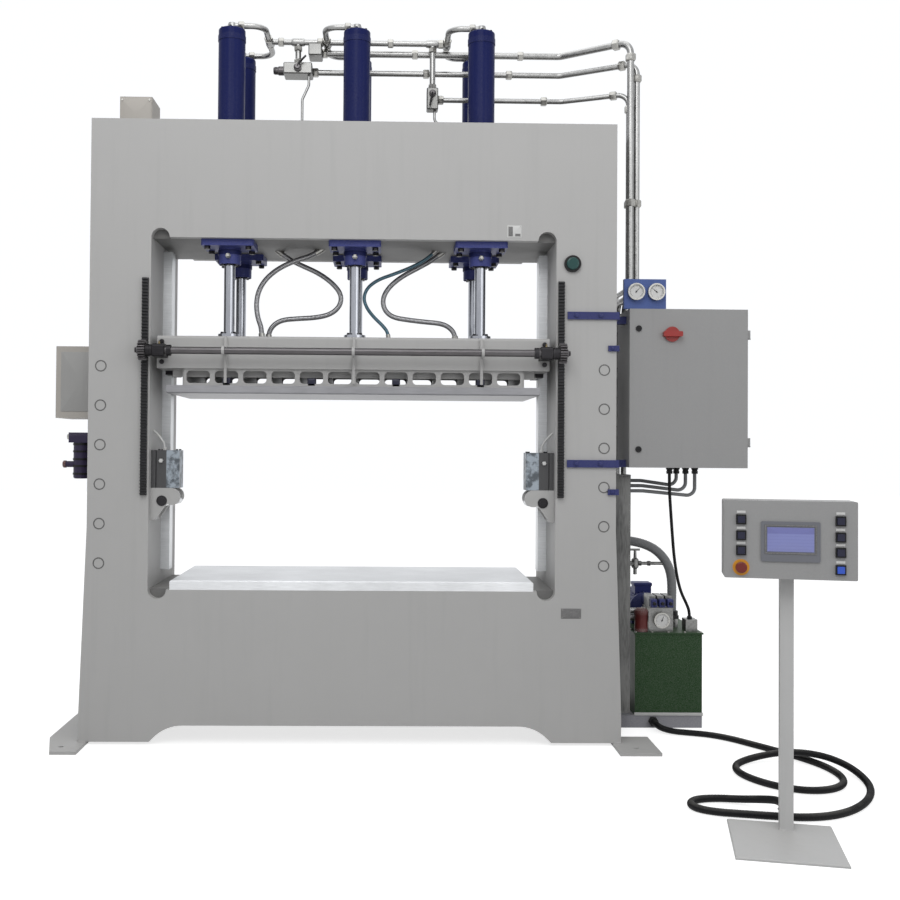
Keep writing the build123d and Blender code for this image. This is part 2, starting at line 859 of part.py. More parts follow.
header_starts = (
    tee_block_x + tee_block_w / 2,
    valve_one_x + valve_one_w / 2,
    valve_two_x + valve_two_w / 2,
)
unit_port_x = tank_x + manifold_x
unit_port_z = lid_top + unit_port_rise
riser_low = cab_top + riser_over_cab
riser_y = face_y + riser_set_back
kink_x = half_w - kink_in
headers = []
for number, radius in enumerate(header_rs):
    z = barrel_top - header_drops[number]
    y = header_ys[number]
    back_step = riser_back_steps[number] * riser_back_step
    riser_x = half_w + riser_out + riser_x_steps[number] * riser_step
    riser_front = riser_y + riser_y_steps[number] * riser_y_step
    riser_back = riser_back_y + back_step
    port_z = unit_port_z + unit_port_steps[number] * unit_port_step
    header_points = [
        (header_starts[number], y, z),
        (kink_x, y, z),
        (riser_x, riser_front, z),
        (riser_x, riser_front, riser_low + back_step),
        (riser_x, riser_back, riser_low + back_step),
        (riser_x, riser_back, port_z),
        (unit_port_x, riser_back, port_z),
    ]
    headers.append(bent_pipe(header_points, radius, [header_bend] * 4 + [2 * radius], pipe_wall))
save("header_pipes", *headers)

valve_one = slab(
    valve_one_x - valve_one_w / 2,
    valve_one_x + valve_one_w / 2,
    -valve_depth / 2,
    valve_depth / 2 + line_y,
    valve_one_low,
    valve_one_top,
)
valve_two = slab(
    valve_two_x - valve_two_w / 2,
    valve_two_x + valve_two_w / 2,
    -valve_depth / 2,
    valve_depth / 2,
    valve_two_low,
    valve_two_top,
)
tee_block = slab(
    tee_block_x - tee_block_w / 2,
    tee_block_x + tee_block_w / 2,
    -valve_depth / 2,
    valve_depth / 2 + line_y,
    barrel_top - header_drops[0] - tee_block_drop,
    line_low,
)
save("pipe_valves", *[chamfer(block.edges(), box_edge_r) for block in (valve_one, valve_two, tee_block)])


# Electric cabinet: shell, hinged door, main switch, two locks, brackets and glands
shell = slab(cab_x, cab_x + cab_w, shell_y, cab_y + cab_depth, cab_low, cab_top)
shell -= slab(
    cab_x + sheet_t,
    cab_x + cab_w - sheet_t,
    shell_y - cut_over,
    cab_y + cab_depth - sheet_t,
    cab_low + sheet_t,
    cab_top - sheet_t,
)
gland_xs = [cab_x + share * cab_w for share in gland_x_shares]
cab_gland_y = shell_y + gland_y_share * cab_depth
cab_gland_ys = [cab_gland_y] + [cab_gland_y + gland_row_gap] * (len(gland_xs) - 1)
cab_glands = []
for x, y in zip(gland_xs, cab_gland_ys):
    shell -= bar((x, y, cab_low - cut_over), (0, 0, 1), gland_r / 2 + hole_gap, sheet_t + 2 * cut_over)
    cab_gland = bar((x, y, cab_low - gland_l), (0, 0, 1), gland_r, gland_l)
    cab_gland += bar((x, y, cab_low), (0, 0, 1), gland_r / 2, gland_l)
    cab_glands.append(cab_gland)

hinge_x = cab_x + cab_w + hinge_out
hinge_y = shell_y - door_gap / 2
door = slab(cab_x, cab_x + cab_w - door_gap, cab_y, cab_y + door_t, cab_low, cab_top)
door -= slab(
    cab_x + sheet_t,
    cab_x + cab_w - door_gap - sheet_t,
    cab_y + sheet_t,
    cab_y + door_t + cut_over,
    cab_low + sheet_t,
    cab_top - sheet_t,
)
lug_front = hinge_y - hinge_lug_lip
lug_back = shell_y + hinge_ring_r
for share in hinge_shares:
    hinge_z = cab_low + share * cab_h
    shell += slab(
        cab_x + cab_w, hinge_x + hinge_ring_r, lug_front, lug_back, hinge_z - hinge_lug_t, hinge_z
    )
    shell += bar((hinge_x, hinge_y, hinge_z), (0, 0, 1), hinge_pin_r, hinge_h)
    knuckle = bar((hinge_x, hinge_y, hinge_z + seat_gap), (0, 0, 1), hinge_ring_r, hinge_h)
    knuckle += slab(
        cab_x + cab_w - door_gap - sheet_t,
        hinge_x,
        hinge_y - hinge_ring_r,
        cab_y + door_t,
        hinge_z + seat_gap,
        hinge_z + seat_gap + hinge_h,
    )
    knuckle -= bar((hinge_x, hinge_y, hinge_z), (0, 0, 1), hinge_pin_r + pin_gap, hinge_h + cut_over)
    door += knuckle

switch_x = cab_x + switch_x_share * cab_w
switch_z = cab_low + switch_z_share * cab_h
lock_x = cab_x + lock_x_share * cab_w
lock_zs = [cab_low + share * cab_h for share in lock_z_shares]
door -= bar((switch_x, cab_y - cut_over, switch_z), (0, 1, 0), switch_stem_r + pin_gap, 2 * cut_over)
for z in lock_zs:
    door -= bar((lock_x, cab_y - cut_over, z), (0, 1, 0), lock_stem_r + pin_gap, 2 * cut_over)
save("cabinet_shell", shell)
save("cabinet_door", door)

switch = bar((switch_x, cab_y - seat_gap - switch_base_t, switch_z), (0, 1, 0), switch_base_r, switch_base_t)
switch += slab(
    switch_x - switch_grip_l / 2,
    switch_x + switch_grip_l / 2,
    cab_y - seat_gap - switch_grip_t,
    cab_y - seat_gap,
    switch_z - switch_grip_w / 2,
    switch_z + switch_grip_w / 2,
)
switch = fillet(switch.edges().filter_by(Axis.Y), switch_grip_w / 4)
switch += bar((switch_x, cab_y - seat_gap, switch_z), (0, 1, 0), switch_stem_r, door_t)
save("main_switch", switch)

for name, z in zip(("door_lock_lower", "door_lock_upper"), lock_zs):
    lock = bar((lock_x, cab_y - seat_gap - lock_t, z), (0, 1, 0), lock_r, lock_t)
    lock -= slab(
        lock_x - lock_stem_r,
        lock_x + lock_stem_r,
        cab_y - lock_t - cut_over,
        cab_y - lock_t / 2,
        z - lock_cam_t / 2,
        z + lock_cam_t / 2,
    )
    lock += bar((lock_x, cab_y - seat_gap, z), (0, 1, 0), lock_stem_r, door_t / 2)
    cam_y = cab_y - seat_gap + door_t / 2 - lock_cam_t
    lock += slab(lock_x - lock_stem_r, lock_x + lock_stem_r, cam_y, cam_y + lock_cam_t, z, z + lock_cam_l)
    save(name, lock)

brackets = []
bracket_back_y = face_y + bracket_back_l
arm_y = shell_y + bracket_arm_w
for share in bracket_z_shares:
    z0 = cab_low + share * cab_h
    z1 = z0 + bracket_h
    piece = slab(rack_x + rack_w / 2 + bracket_rack_gap, half_w + bracket_t, face_y - bracket_t, face_y, z0, z1)
    piece += slab(half_w, half_w + bracket_t, face_y - bracket_t, bracket_back_y, z0, z1)
    piece += slab(half_w, cab_x, arm_y, arm_y + bracket_arm_w, z0, z1)
    brackets.append(piece)
for z0 in clamp_zs:
    clamp = slab(half_w - clamp_face_l, half_w + bracket_t, face_y - bracket_t, face_y, z0, z0 + clamp_h)
    clamp += slab(half_w, half_w + bracket_t, face_y - bracket_t, face_y + clamp_back_l, z0, z0 + clamp_h)
    brackets.append(clamp)
save("cabinet_brackets", *brackets)


# Gauge panel standing on the cabinet roof
gp_x = cab_x - gauge_panel_out
gp_y = cab_y + gauge_panel_back
gauge_panel = slab(gp_x, gp_x + gauge_panel_w, gp_y, gp_y + gauge_panel_t, cab_top, cab_top + gauge_panel_h)
gauge_cases = []
gauge_z = cab_top + gauge_z_share * gauge_panel_h
for share in gauge_x_shares:
    x = gp_x + share * gauge_panel_w
    case = bar((x, gp_y - gauge_t, gauge_z), (0, 1, 0), gauge_r, gauge_t)
    case -= bar((x, gp_y - gauge_t - cut_over, gauge_z), (0, 1, 0), gauge_r - gauge_rim, gauge_recess + cut_over)
    case += bar((x, gp_y, gauge_z), (0, 1, 0), gauge_r / 2, gauge_panel_t)
    gauge_panel -= bar((x, gp_y - cut_over, gauge_z), (0, 1, 0), gauge_r / 2 + hole_gap, gauge_panel_t + 2 * cut_over)
    gauge_cases.append(case)
save("gauge_panel", gauge_panel, *gauge_cases)


# Service boxes: one on the crown deck, one on the left side plate
top_box_x = top_box_inset - half_w
top_box = slab(
    top_box_x - top_box_w / 2,
    top_box_x + top_box_w / 2,
    top_box_y - top_box_l / 2,
    top_box_y + top_box_l / 2,
    crown_deck_top,
    crown_deck_top + top_box_h,
)
side_box = slab(
    -half_w - side_box_reach,
    -half_w,
    side_box_y - side_box_l / 2,
    side_box_y + side_box_l / 2,
    side_box_low,
    side_box_low + side_box_h,
)
service_boxes = [fillet(box.edges().filter_by(Axis.Z), box_edge_r) for box in (top_box, side_box)]
save("service_boxes", *service_boxes)

air_x = -half_w - air_x_out
head_low = air_low + air_bowl_h
air_unit = bar((air_x, air_y, air_low), (0, 0, 1), air_bowl_r, air_bowl_h)
air_unit = fillet(air_unit.edges().sort_by(Axis.Z)[0], air_bowl_r / 4)
air_unit += slab(
    air_x - air_head_w / 2,
    air_x + air_head_w / 2,
    air_y - air_head_l / 2,
    air_y + air_head_l / 2,
    head_low,
    head_low + air_head_h,
)
air_unit += slab(
    air_x,
    -half_w,
    air_y - air_arm_w / 2,
    air_y + air_arm_w / 2,
    head_low,
    head_low + air_arm_h,
)
air_unit += bar((air_x, air_y, air_knob_z), (-1, 0, 0), air_knob_r, air_bowl_r + air_knob_l)
save("air_service_unit", air_unit)


# Cable trunk beside the right column, on two feet
trunk_x = half_w + trunk_gap
trunk = slab(trunk_x, trunk_x + trunk_w, trunk_y - trunk_l / 2, trunk_y + trunk_l / 2, trunk_low, trunk_top)
trunk -= slab(
    trunk_x + trunk_wall,
    trunk_x + trunk_w - trunk_wall,
    trunk_y - trunk_l / 2 + trunk_wall,
    trunk_y + trunk_l / 2 - trunk_wall,
    trunk_low - cut_over,
    trunk_top + cut_over,
)
for side_x, z in ((half_w, flare_top + trunk_foot_h), (base_half, trunk_low)):
    trunk += slab(side_x, trunk_x + trunk_wall, trunk_y - trunk_l / 4, trunk_y + trunk_l / 4, z, z + trunk_foot_h)
save("cable_trunk", trunk)

trunk_right = trunk_x + trunk_w
conduits = []
for number, (x, y) in enumerate(zip(gland_xs[1:], cab_gland_ys[1:])):
    gland_end = cab_low - gland_l
    low_z = gland_end - bend_drop - (number + 1) * bend_step
    end_y = trunk_y - (number - 1) * bend_y_step
    conduit_points = [
        (x, y, gland_end),
        (x, y, low_z),
        (trunk_right + bend_run, end_y, low_z + bend_rise),
        (trunk_right, end_y, low_z + bend_rise),
    ]
    conduits.append(bent_pipe(conduit_points, bend_r, bend_turn_r, bend_wall))
save("conduit_bends", *conduits)


# Hydraulic unit: tank on a skid, valve block, motor
tank_right = tank_x + tank_w
tank_back = tank_y + tank_l
tank = slab(tank_x, tank_right, tank_y, tank_back, tank_low, tank_top)
tank -= slab(
    tank_x + tank_wall,
    tank_right - tank_wall,
    tank_y + tank_wall,
    tank_back - tank_wall,
    tank_low + tank_wall,
    tank_top + cut_over,
)
tank += slab(
    tank_x - tank_lid_over,
    tank_right + tank_lid_over,
    tank_y - tank_lid_over,
    tank_back + tank_lid_over,
    tank_top,
    lid_top,
)
save("oil_tank", tank)

skid_x0 = tank_x - skid_left
skid = slab(skid_x0, tank_right, tank_y, tank_y + skid_rail_w, 0, tank_low - skid_floor_t)
skid += slab(skid_x0, tank_right, tank_back - skid_rail_w, tank_back, 0, tank_low - skid_floor_t)
skid += slab(skid_x0, tank_right, tank_y, tank_back, tank_low - skid_floor_t, tank_low)
save("tank_skid", skid)

block_x = tank_x + manifold_x
block_y = tank_y + manifold_y
block_top = lid_top + manifold_h
manifold = slab(block_x, block_x + manifold_w, block_y, block_y + manifold_l, lid_top, block_top)
valve_pitch = manifold_w / valve_count
for number in range(valve_count):
    x = block_x + (number + 1 / 2) * valve_pitch
    y = block_y + manifold_l / 2
    manifold += slab(x - valve_w / 2, x + valve_w / 2, y - valve_l / 2, y + valve_l / 2, block_top, block_top + valve_h)
gauge_spot = (block_x + manifold_w / 2, block_y - unit_gauge_t, lid_top + manifold_h / 2)
manifold += bar(gauge_spot, (0, 1, 0), unit_gauge_r, unit_gauge_t)
oil_filter = bar((tank_x + filter_x, tank_y + filter_y, lid_top), (0, 0, 1), filter_r, filter_h)
oil_filter = fillet(oil_filter.edges().sort_by(Axis.Z)[-1], filter_r / 3)
hose_boss = bar((tank_x + boss_x, tank_y + boss_y, lid_top), (0, 0, 1), boss_r, boss_h)
terminal_box = slab(
    tank_x + term_x,
    tank_x + term_x + term_w,
    tank_y + term_y,
    tank_y + term_y + term_l,
    lid_top,
    lid_top + term_h,
)
save("valve_manifold", manifold, oil_filter, hose_boss, terminal_box)

motor_z = lid_top + motor_lift
motor_start = (tank_x + motor_x, tank_y + motor_y, motor_z)
motor = bar(motor_start, (0, 1, 0), motor_r, motor_l)
motor += bar((tank_x + motor_x, tank_y + motor_y + motor_l, motor_z), (0, 1, 0), motor_fan_r, motor_fan_l)
motor += slab(
    tank_x + motor_x - motor_foot_w / 2,
    tank_x + motor_x + motor_foot_w / 2,
    tank_y + motor_y + motor_fan_l,
    tank_y + motor_y + motor_l - motor_fan_l,
    lid_top,
    motor_z,
)
motor += slab(
    tank_x + motor_x - motor_box_w / 2,
    tank_x + motor_x + motor_box_w / 2,
    tank_y + motor_y + motor_fan_l,
    tank_y + motor_y + motor_fan_l + motor_box_w,
    motor_z,
    motor_z + motor_r + motor_box_h,
)
save("pump_motor", motor)


# Control stand, turned towards the operator at the front left
stand = Location((half_w + stand_out, face_y - stand_ahead, 0), (0, 0, stand_turn))
base = slab(-stand_base_w / 2, stand_base_w / 2, -stand_base_l / 2, stand_base_l / 2, 0, stand_base_t)
base = chamfer(base.faces().sort_by(Axis.Z)[-1].edges(), stand_base_chamfer)
post = slab(
    post_shift - post_w / 2,
    post_shift + post_w / 2,
    post_back - post_w / 2,
    post_back + post_w / 2,
    stand_base_t,
    panel_low,
)
post -= slab(
    post_shift - post_w / 2 + post_wall,
    post_shift + post_w / 2 - post_wall,
    post_back - post_w / 2 + post_wall,
    post_back + post_w / 2 - post_wall,
    stand_base_t,
    panel_low + cut_over,
)
save("pedestal_stand", stand * (base + post))

panel_back = post_back + post_w / 2
panel_front = panel_back - panel_depth
panel_left = post_shift - panel_w / 2
housing = slab(panel_left, panel_left + panel_w, panel_front, panel_back, panel_low, panel_low + panel_h)
housing = fillet(housing.edges().filter_by(Axis.Y), panel_corner_r)
housing -= slab(
    panel_left + panel_wall,
    panel_left + panel_w - panel_wall,
    panel_front + panel_wall,
    panel_back - panel_wall,
    panel_low + panel_wall,
    panel_low + panel_h - panel_wall,
)
screen_z = panel_low + screen_z_share * panel_h
screen_body = (
    post_shift - screen_body_w / 2,
    post_shift + screen_body_w / 2,
    screen_z - screen_body_h / 2,
    screen_z + screen_body_h / 2,
)
housing -= slab(
    screen_body[0] - seat_gap,
    screen_body[1] + seat_gap,
    panel_front - cut_over,
    panel_front + cut_over,
    screen_body[2] - seat_gap,
    screen_body[3] + seat_gap,
)
screen = slab(
    post_shift - screen_w / 2,
    post_shift + screen_w / 2,
    panel_front - screen_t,
    panel_front,
    screen_z - screen_h / 2,
    screen_z + screen_h / 2,
)
screen = fillet(screen.edges().filter_by(Axis.Y), panel_corner_r)
screen += slab(*screen_body[:2], panel_front, panel_front + screen_body_l, *screen_body[2:])
save("panel_screen", stand * screen)

button_names = (
    ("button_left_top", "button_left_middle", "button_left_low", "emergency_stop"),
    ("button_right_top", "button_right_middle", "button_right_low", "start_button"),
)
for side, names in zip((-1, 1), button_names):
    x = post_shift + side * button_x_share * panel_w
    for name, share in zip(names, button_z_shares):
        z = panel_low + share * panel_h
        cap_back = panel_front - button_lift
        is_stop = name == "emergency_stop"
        stem_r = estop_stem_r if is_stop else button_stem_r
        if is_stop:
            cap = bar((x, cap_back - estop_t, z), (0, 1, 0), estop_r, estop_t)
            cap = fillet(cap.edges().sort_by(Axis.Y)[0], estop_t / 3)
        else:
            half = button_w / 2
            cap = slab(x - half, x + half, cap_back - button_t, cap_back, z - half, z + half)
            cap = fillet(cap.edges().filter_by(Axis.Y), button_t / 3)
        cap += bar((x, cap_back, z), (0, 1, 0), stem_r, button_stem_l)
        housing -= bar((x, panel_front - cut_over, z), (0, 1, 0), stem_r + seat_gap, 2 * cut_over)
        save(name, stand * cap)
save("panel_housing", stand * housing)


# Signal lamp on the front face
lamp = bar((lamp_x, face_y - lamp_bezel_t, lamp_z), (0, 1, 0), lamp_bezel_r, lamp_bezel_t)
lens = bar((lamp_x, face_y - lamp_bezel_t - lamp_lens_t, lamp_z), (0, 1, 0), lamp_lens_r, lamp_lens_t)
lamp += fillet(lens.edges().sort_by(Axis.Y)[0], lamp_lens_edge_r)
lamp += bar((lamp_x, face_y, lamp_z), (0, 1, 0), lamp_stem_r, plate_t)
save("signal_lamp", lamp)

# Glands where the free cables leave the side plate, the skid and the post
flare_share = (flare_top - conduit_gland_z) / (flare_top - flare_low)
conduit_y = riser_back_y + conduit_gland_y_gap
conduit_base = (half_w + flare_share * flare_out, conduit_y, conduit_gland_z)
conduit_gland = bar(conduit_base, (flare_top - flare_low, 0, flare_out), boss_r, gland_l)
skid_gland = bar((tank_x + skid_gland_x, tank_y, skid_gland_z), (0, -1, 0), cable_gland_r, gland_l)
post_gland = stand * bar((post_shift, panel_back, post_gland_z), (0, 1, 0), cable_gland_r, gland_l)
save("cable_glands", *cab_glands, conduit_gland, skid_gland, post_gland)


# Free hoses between the crown and the ram, and the cables: points chosen by hand
cord_routes = {
    "hose_left_outer": (
        hose_r,
        [
            (-170, -30, 2500),
            (-225, -30, 2462),
            (-310, -30, 2436),
            (-400, -30, 2395),
            (-468, -30, 2340),
            (-508, -30, 2275),
            (-520, -30, 2205),
            (-512, -30, 2135),
            (-488, -30, 2072),
            (-488, -30, 2007.3),
        ],
    ),
    "hose_left_inner": (
        hose_r,
        [
            (-420, 30, 2500),
            (-365, 30, 2452),
            (-285, 30, 2415),
            (-200, 30, 2378),
            (-125, 30, 2325),
            (-78, 30, 2265),
            (-85, 30, 2205),
            (-135, 30, 2160),
            (-215, 30, 2142),
            (-300, 30, 2137),
            (-386, 30, 2130),
            (-434, 30, 2104),
            (-462, 30, 2058),
            (-462, 30, 2007.3),
        ],
    ),
    "hose_right_outer": (
        thin_hose_r,
        [
            (425, -30, 2500),
            (370, -30, 2448),
            (290, -30, 2405),
            (205, -30, 2370),
            (115, -30, 2338),
            (58, -30, 2295),
            (38, -30, 2240),
            (56, -30, 2188),
            (94, -30, 2140),
            (140, -30, 2098),
            (172, -30, 2056),
            (172, -30, 2007.3),
        ],
    ),
    "hose_right_inner": (
        hose_r,
        [
            (460, 30, 2500),
            (400, 30, 2452),
            (320, 30, 2408),
            (240, 30, 2365),
            (175, 30, 2312),
            (138, 30, 2250),
            (146, 30, 2188),
            (190, 30, 2148),
            (270, 30, 2135),
            (360, 30, 2125),
            (450, 30, 2118),
            (498, 30, 2094),
            (524, 30, 2054),
            (524, 30, 2007.3),
        ],
    ),
    "suction_conduit": (
        conduit_r,
        [
            (1325, 230, 965.7),
            (1405, 230, 968.4),
            (1495, 230, 964),
            (1578, 231, 946),
            (1645, 232, 911),
            (1696, 232, 854),
            (1722, 232, 786),
            (1728, 232, 708),
            (1726, 232, 634),
            (1726, 232, 560),
        ],
    ),
    "unit_cable": (
        unit_cable_r,
        [
            (1620.2, -130, 1340),
            (1620.2, -130, 1255),
            (1632, -114, 1140),
            (1648, -84, 1020),
            (1668, -44, 900),
            (1698, 10, 790),
            (1732, 60, 705),
            (1772, 98, 640),
            (1790, 106, 598),
            (1790, 106, 560),
        ],
    ),
    "panel_cable": (
        panel_cable_r,
        [
            (1575, 0, 36),
            (1575, -46, 35),
            (1590, -96, 27),
            (1640, -128, 19),
            (1718, -148, 16.5),
            (1815, -182, 16.5),
            (1900, -258, 16.5),
            (1975, -368, 16.5),
            (2060, -494, 16.5),
            (2138, -624, 16.5),
            (2188, -752, 16.5),
            (2200, -890, 16.5),
            (2168, -1010, 16.5),
            (2086, -1094, 16.5),
            (1976, -1118, 16.5),
            (1868, -1066, 16.5),
            (1790, -964, 16.5),
            (1752, -848, 16.5),
            (1770, -736, 16.5),
            (1846, -652, 19),
            (1955, -616, 34),
            (2072, -634, 54),
            (2186, -692, 54),
            (2262, -784, 38),
            (2288, -912, 19),
            (2254, -1082, 16.5),
            (2172, -1240, 16.5),
            (2062, -1366, 16.5),
            (1944, -1440, 16.5),
            (1824, -1462, 16.5),
            (1706, -1444, 16.5),
            (1594, -1418, 16.5),
            (1494, -1396, 16.5),
            (1426, -1352, 16.5),
            (1412, -1284, 16.5),
            (1462, -1228, 16.5),
            (1548, -1216, 16.5),
            (1636, -1248, 22),
            (1704, -1312, 42),
            (1736, -1392, 64),
            (1733, -1468, 72),
            (1719, -1527, 72),
        ],
    ),
}
for name, (radius, route) in cord_routes.items():
    cord(name, route, radius)
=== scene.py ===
import json
import math
from itertools import product

import bpy
import numpy as np
from mathutils import Matrix, Vector


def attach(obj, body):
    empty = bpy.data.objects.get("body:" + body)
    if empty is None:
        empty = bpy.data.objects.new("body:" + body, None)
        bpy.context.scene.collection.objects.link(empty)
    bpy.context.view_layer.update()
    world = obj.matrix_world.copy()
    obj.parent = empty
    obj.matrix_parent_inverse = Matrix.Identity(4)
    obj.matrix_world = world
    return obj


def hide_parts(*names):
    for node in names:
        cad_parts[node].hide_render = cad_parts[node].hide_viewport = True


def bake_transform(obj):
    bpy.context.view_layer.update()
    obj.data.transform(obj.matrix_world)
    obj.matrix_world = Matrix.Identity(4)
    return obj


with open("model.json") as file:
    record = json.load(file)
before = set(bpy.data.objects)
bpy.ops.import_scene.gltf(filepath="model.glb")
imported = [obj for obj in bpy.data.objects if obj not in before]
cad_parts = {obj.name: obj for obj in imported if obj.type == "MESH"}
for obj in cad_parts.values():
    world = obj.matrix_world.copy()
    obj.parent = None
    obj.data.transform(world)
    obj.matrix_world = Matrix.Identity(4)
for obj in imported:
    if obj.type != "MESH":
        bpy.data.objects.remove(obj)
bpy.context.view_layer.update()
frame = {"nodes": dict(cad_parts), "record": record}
nodes = frame["nodes"]
scene = bpy.context.scene
print("frame loaded")


# Camera: standing in front of the press, as in the photograph
cameraSettings = {
    "place": (0.167, -5.867, 1.458),
    "yaw": 0.0174,  # radians to the right
    "pitch": 0.0178,  # radians up
    "roll": 0.0074,
    "lens": 44.8,
    "shift": (0.0483, -0.024),
    "clipEnd": 100,
}


def addCamera(settings):
    yaw, pitch, roll = settings["yaw"], settings["pitch"], settings["roll"]
    level = math.cos(pitch)
    forward = Vector((math.sin(yaw) * level, math.cos(yaw) * level, math.sin(pitch)))
    right = Vector((math.cos(yaw), -math.sin(yaw), 0))
    up = right.cross(forward)
    tiltedRight = math.cos(roll) * right + math.sin(roll) * up
    tiltedUp = math.cos(roll) * up - math.sin(roll) * right
    camera = bpy.data.objects.new("camera", bpy.data.cameras.new("camera"))
    turn = Matrix((tiltedRight, tiltedUp, -forward)).transposed()
    camera.matrix_world = Matrix.Translation(settings["place"]) @ turn.to_4x4()
    camera.data.lens = settings["lens"]
    camera.data.shift_x, camera.data.shift_y = settings["shift"]
    camera.data.clip_end = settings["clipEnd"]
    scene.collection.objects.link(camera)
    scene.camera = camera


addCamera(cameraSettings)


# Mesh helpers: every piece is made of grids, each a function of two parameters
def gridFaces(grid, closeRows, closeColumns):
    rows, columns = grid.shape[:2]
    i = np.arange(rows if closeRows else rows - 1)[:, None]
    j = np.arange(columns if closeColumns else columns - 1)[None, :]
    nextI, nextJ = (i + 1) % rows, (j + 1) % columns
    corners = (i * columns + j, i * columns + nextJ, nextI * columns + nextJ, nextI * columns + j)
    steps = np.linalg.norm(np.diff(grid, axis=0, append=grid[:1]), axis=2).mean(1)
    along = np.concatenate([[0], np.cumsum(steps)])  # V is the way along the rows, U the share of the turn
    u = np.stack(np.broadcast_arrays(j, j + 1, j + 1, j), -1) / columns + 0 * i[..., None]
    v = along[np.stack(np.broadcast_arrays(i, i, i + 1, i + 1), -1)] + 0 * j[..., None]
    return np.stack(corners, -1).reshape(-1, 4), np.stack([u, v], -1).reshape(-1, 2)


def addPiece(name, grids, look, body="frame", slot=None, smooth=35):
    points, faces, wrap, count = [], [], [], 0
    for grid, closeRows, closeColumns in grids:
        quads, corners = gridFaces(grid, closeRows, closeColumns)
        points.append(grid.reshape(-1, 3))
        faces.append(quads + count)
        wrap.append(corners)
        count += len(points[-1])
    points, faces = np.concatenate(points), np.concatenate(faces)
    mesh = bpy.data.meshes.new(name)
    mesh.vertices.add(len(points))
    mesh.vertices.foreach_set("co", points.astype(np.float32).ravel())
    mesh.loops.add(faces.size)
    mesh.loops.foreach_set("vertex_index", faces.astype(np.int32).ravel())
    mesh.polygons.add(len(faces))
    mesh.polygons.foreach_set("loop_start", np.arange(0, faces.size, 4, dtype=np.int32))
    mesh.update(calc_edges=True)
    wrapLayer = mesh.uv_layers.new(name="wrap")
    wrapLayer.data.foreach_set("uv", np.concatenate(wrap).astype(np.float32).ravel())
    mesh.validate()
    mesh.shade_smooth()
    mesh.set_sharp_from_angle(angle=math.radians(smooth))
    mesh.materials.append(materials[look])
    piece = bpy.data.objects.new(name, mesh)
    scene.collection.objects.link(piece)
    slot or slotOfLook[look]
    if body:
        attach(piece, body)
    return piece


def sideways(axis):
    axis = np.array(axis, float) / np.linalg.norm(axis)
    helper = np.array((0.0, 0.0, 1.0)) if abs(axis[2]) < 0.9 else np.array((1.0, 0.0, 0.0))
    across = np.cross(helper, axis)
    across /= np.linalg.norm(across)
    return across, np.cross(axis, across), axis


# A lathe turns a profile of (radius, height) about an axis; sides=6 gives a hexagon
def lathe(origin, axis, profile, sides=32, turn=0.0):
    across, upward, axis = sideways(axis)
    radius, height = np.array(profile, float).T
    angle = turn + np.arange(sides) * 2 * np.pi / sides
    ring = np.cos(angle)[:, None] * across + np.sin(angle)[:, None] * upward
    grid = np.array(origin) + radius[:, None, None] * ring[None] + (height[:, None] * axis)[:, None, :]
    return grid, False, True


# A tube carries a circle along a path; the radius may change from point to point
def tube(path, radius, sides=16):
    path = np.array(path, float)
    tangent = np.gradient(path, axis=0)
    tangent /= np.linalg.norm(tangent, axis=1)[:, None]
    normal = np.zeros_like(path)
    normal[0] = sideways(tangent[0])[0]
    for k in range(1, len(path)):
        step = normal[k - 1] - tangent[k] * (normal[k - 1] @ tangent[k])
        normal[k] = step / np.linalg.norm(step)
    other = np.cross(tangent, normal)
    angle = np.arange(sides) * 2 * np.pi / sides
    ring = np.cos(angle)[None, :, None] * normal[:, None] + np.sin(angle)[None, :, None] * other[:, None]
    radius = np.broadcast_to(np.asarray(radius, float), (len(path),))
    grid = path[:, None] + radius[:, None, None] * ring
    ends = [np.broadcast_to(path[k], (1, sides, 3)) for k in (0, -1)]
    return np.concatenate([ends[0], grid, ends[1]]), False, True


# A block is a rounded rectangle drawn along an axis, with its front and back edges rounded too
def block(low, high, edge=0.002, axis=2, corner=4):
    low, high = np.array(low, float), np.array(high, float)
    order = {0: (1, 2, 0), 1: (2, 0, 1), 2: (0, 1, 2)}[axis]
    half, middle = (high - low)[list(order)] / 2, ((high + low) / 2)[list(order)]
    edge = min(edge, *(half * 0.98))
    quarter = np.linspace(0, np.pi / 2, corner)
    angle = np.concatenate([quarter + k * np.pi / 2 for k in range(4)])
    signX = np.repeat([1, -1, -1, 1], corner)
    signY = np.repeat([1, 1, -1, -1], corner)
    rise, inset = edge * (1 - np.cos(quarter)), np.sin(quarter)
    level = np.concatenate([[-half[2]], rise - half[2], half[2] - rise[::-1], [half[2]]])
    reach = edge * np.concatenate([[0.0], inset, inset[::-1], [0.0]])[:, None]
    closed = np.concatenate([[1e-4], np.ones(2 * corner), [1e-4]])[:, None]  # both ends draw in to a point
    x = (signX * (half[0] - edge) + reach * np.cos(angle)) * closed
    y = (signY * (half[1] - edge) + reach * np.sin(angle)) * closed
    local = np.stack([x, y, np.broadcast_to(level[:, None], x.shape)], -1) + middle
    grid = np.empty_like(local)
    grid[..., list(order)] = local
    return grid, False, True


# Node helpers
def addNode(tree, kind, inputs=None, **settings):
    node = tree.nodes.new(kind)
    for key, value in settings.items():
        setattr(node, key, value)
    for key, value in (inputs or {}).items():
        if isinstance(value, bpy.types.NodeSocket):
            tree.links.new(value, node.inputs[key])
        else:
            node.inputs[key].default_value = value
    return node


def newGroup(name, inputs, outputs):
    tree = bpy.data.node_groups.new(name, "ShaderNodeTree")
    for label, kind, value in inputs:
        socket = tree.interface.new_socket(label, in_out="INPUT", socket_type=kind)
        socket.default_value = value
    for label, kind in outputs:
        tree.interface.new_socket(label, in_out="OUTPUT", socket_type=kind)
    return tree, tree.nodes.new("NodeGroupInput"), tree.nodes.new("NodeGroupOutput")


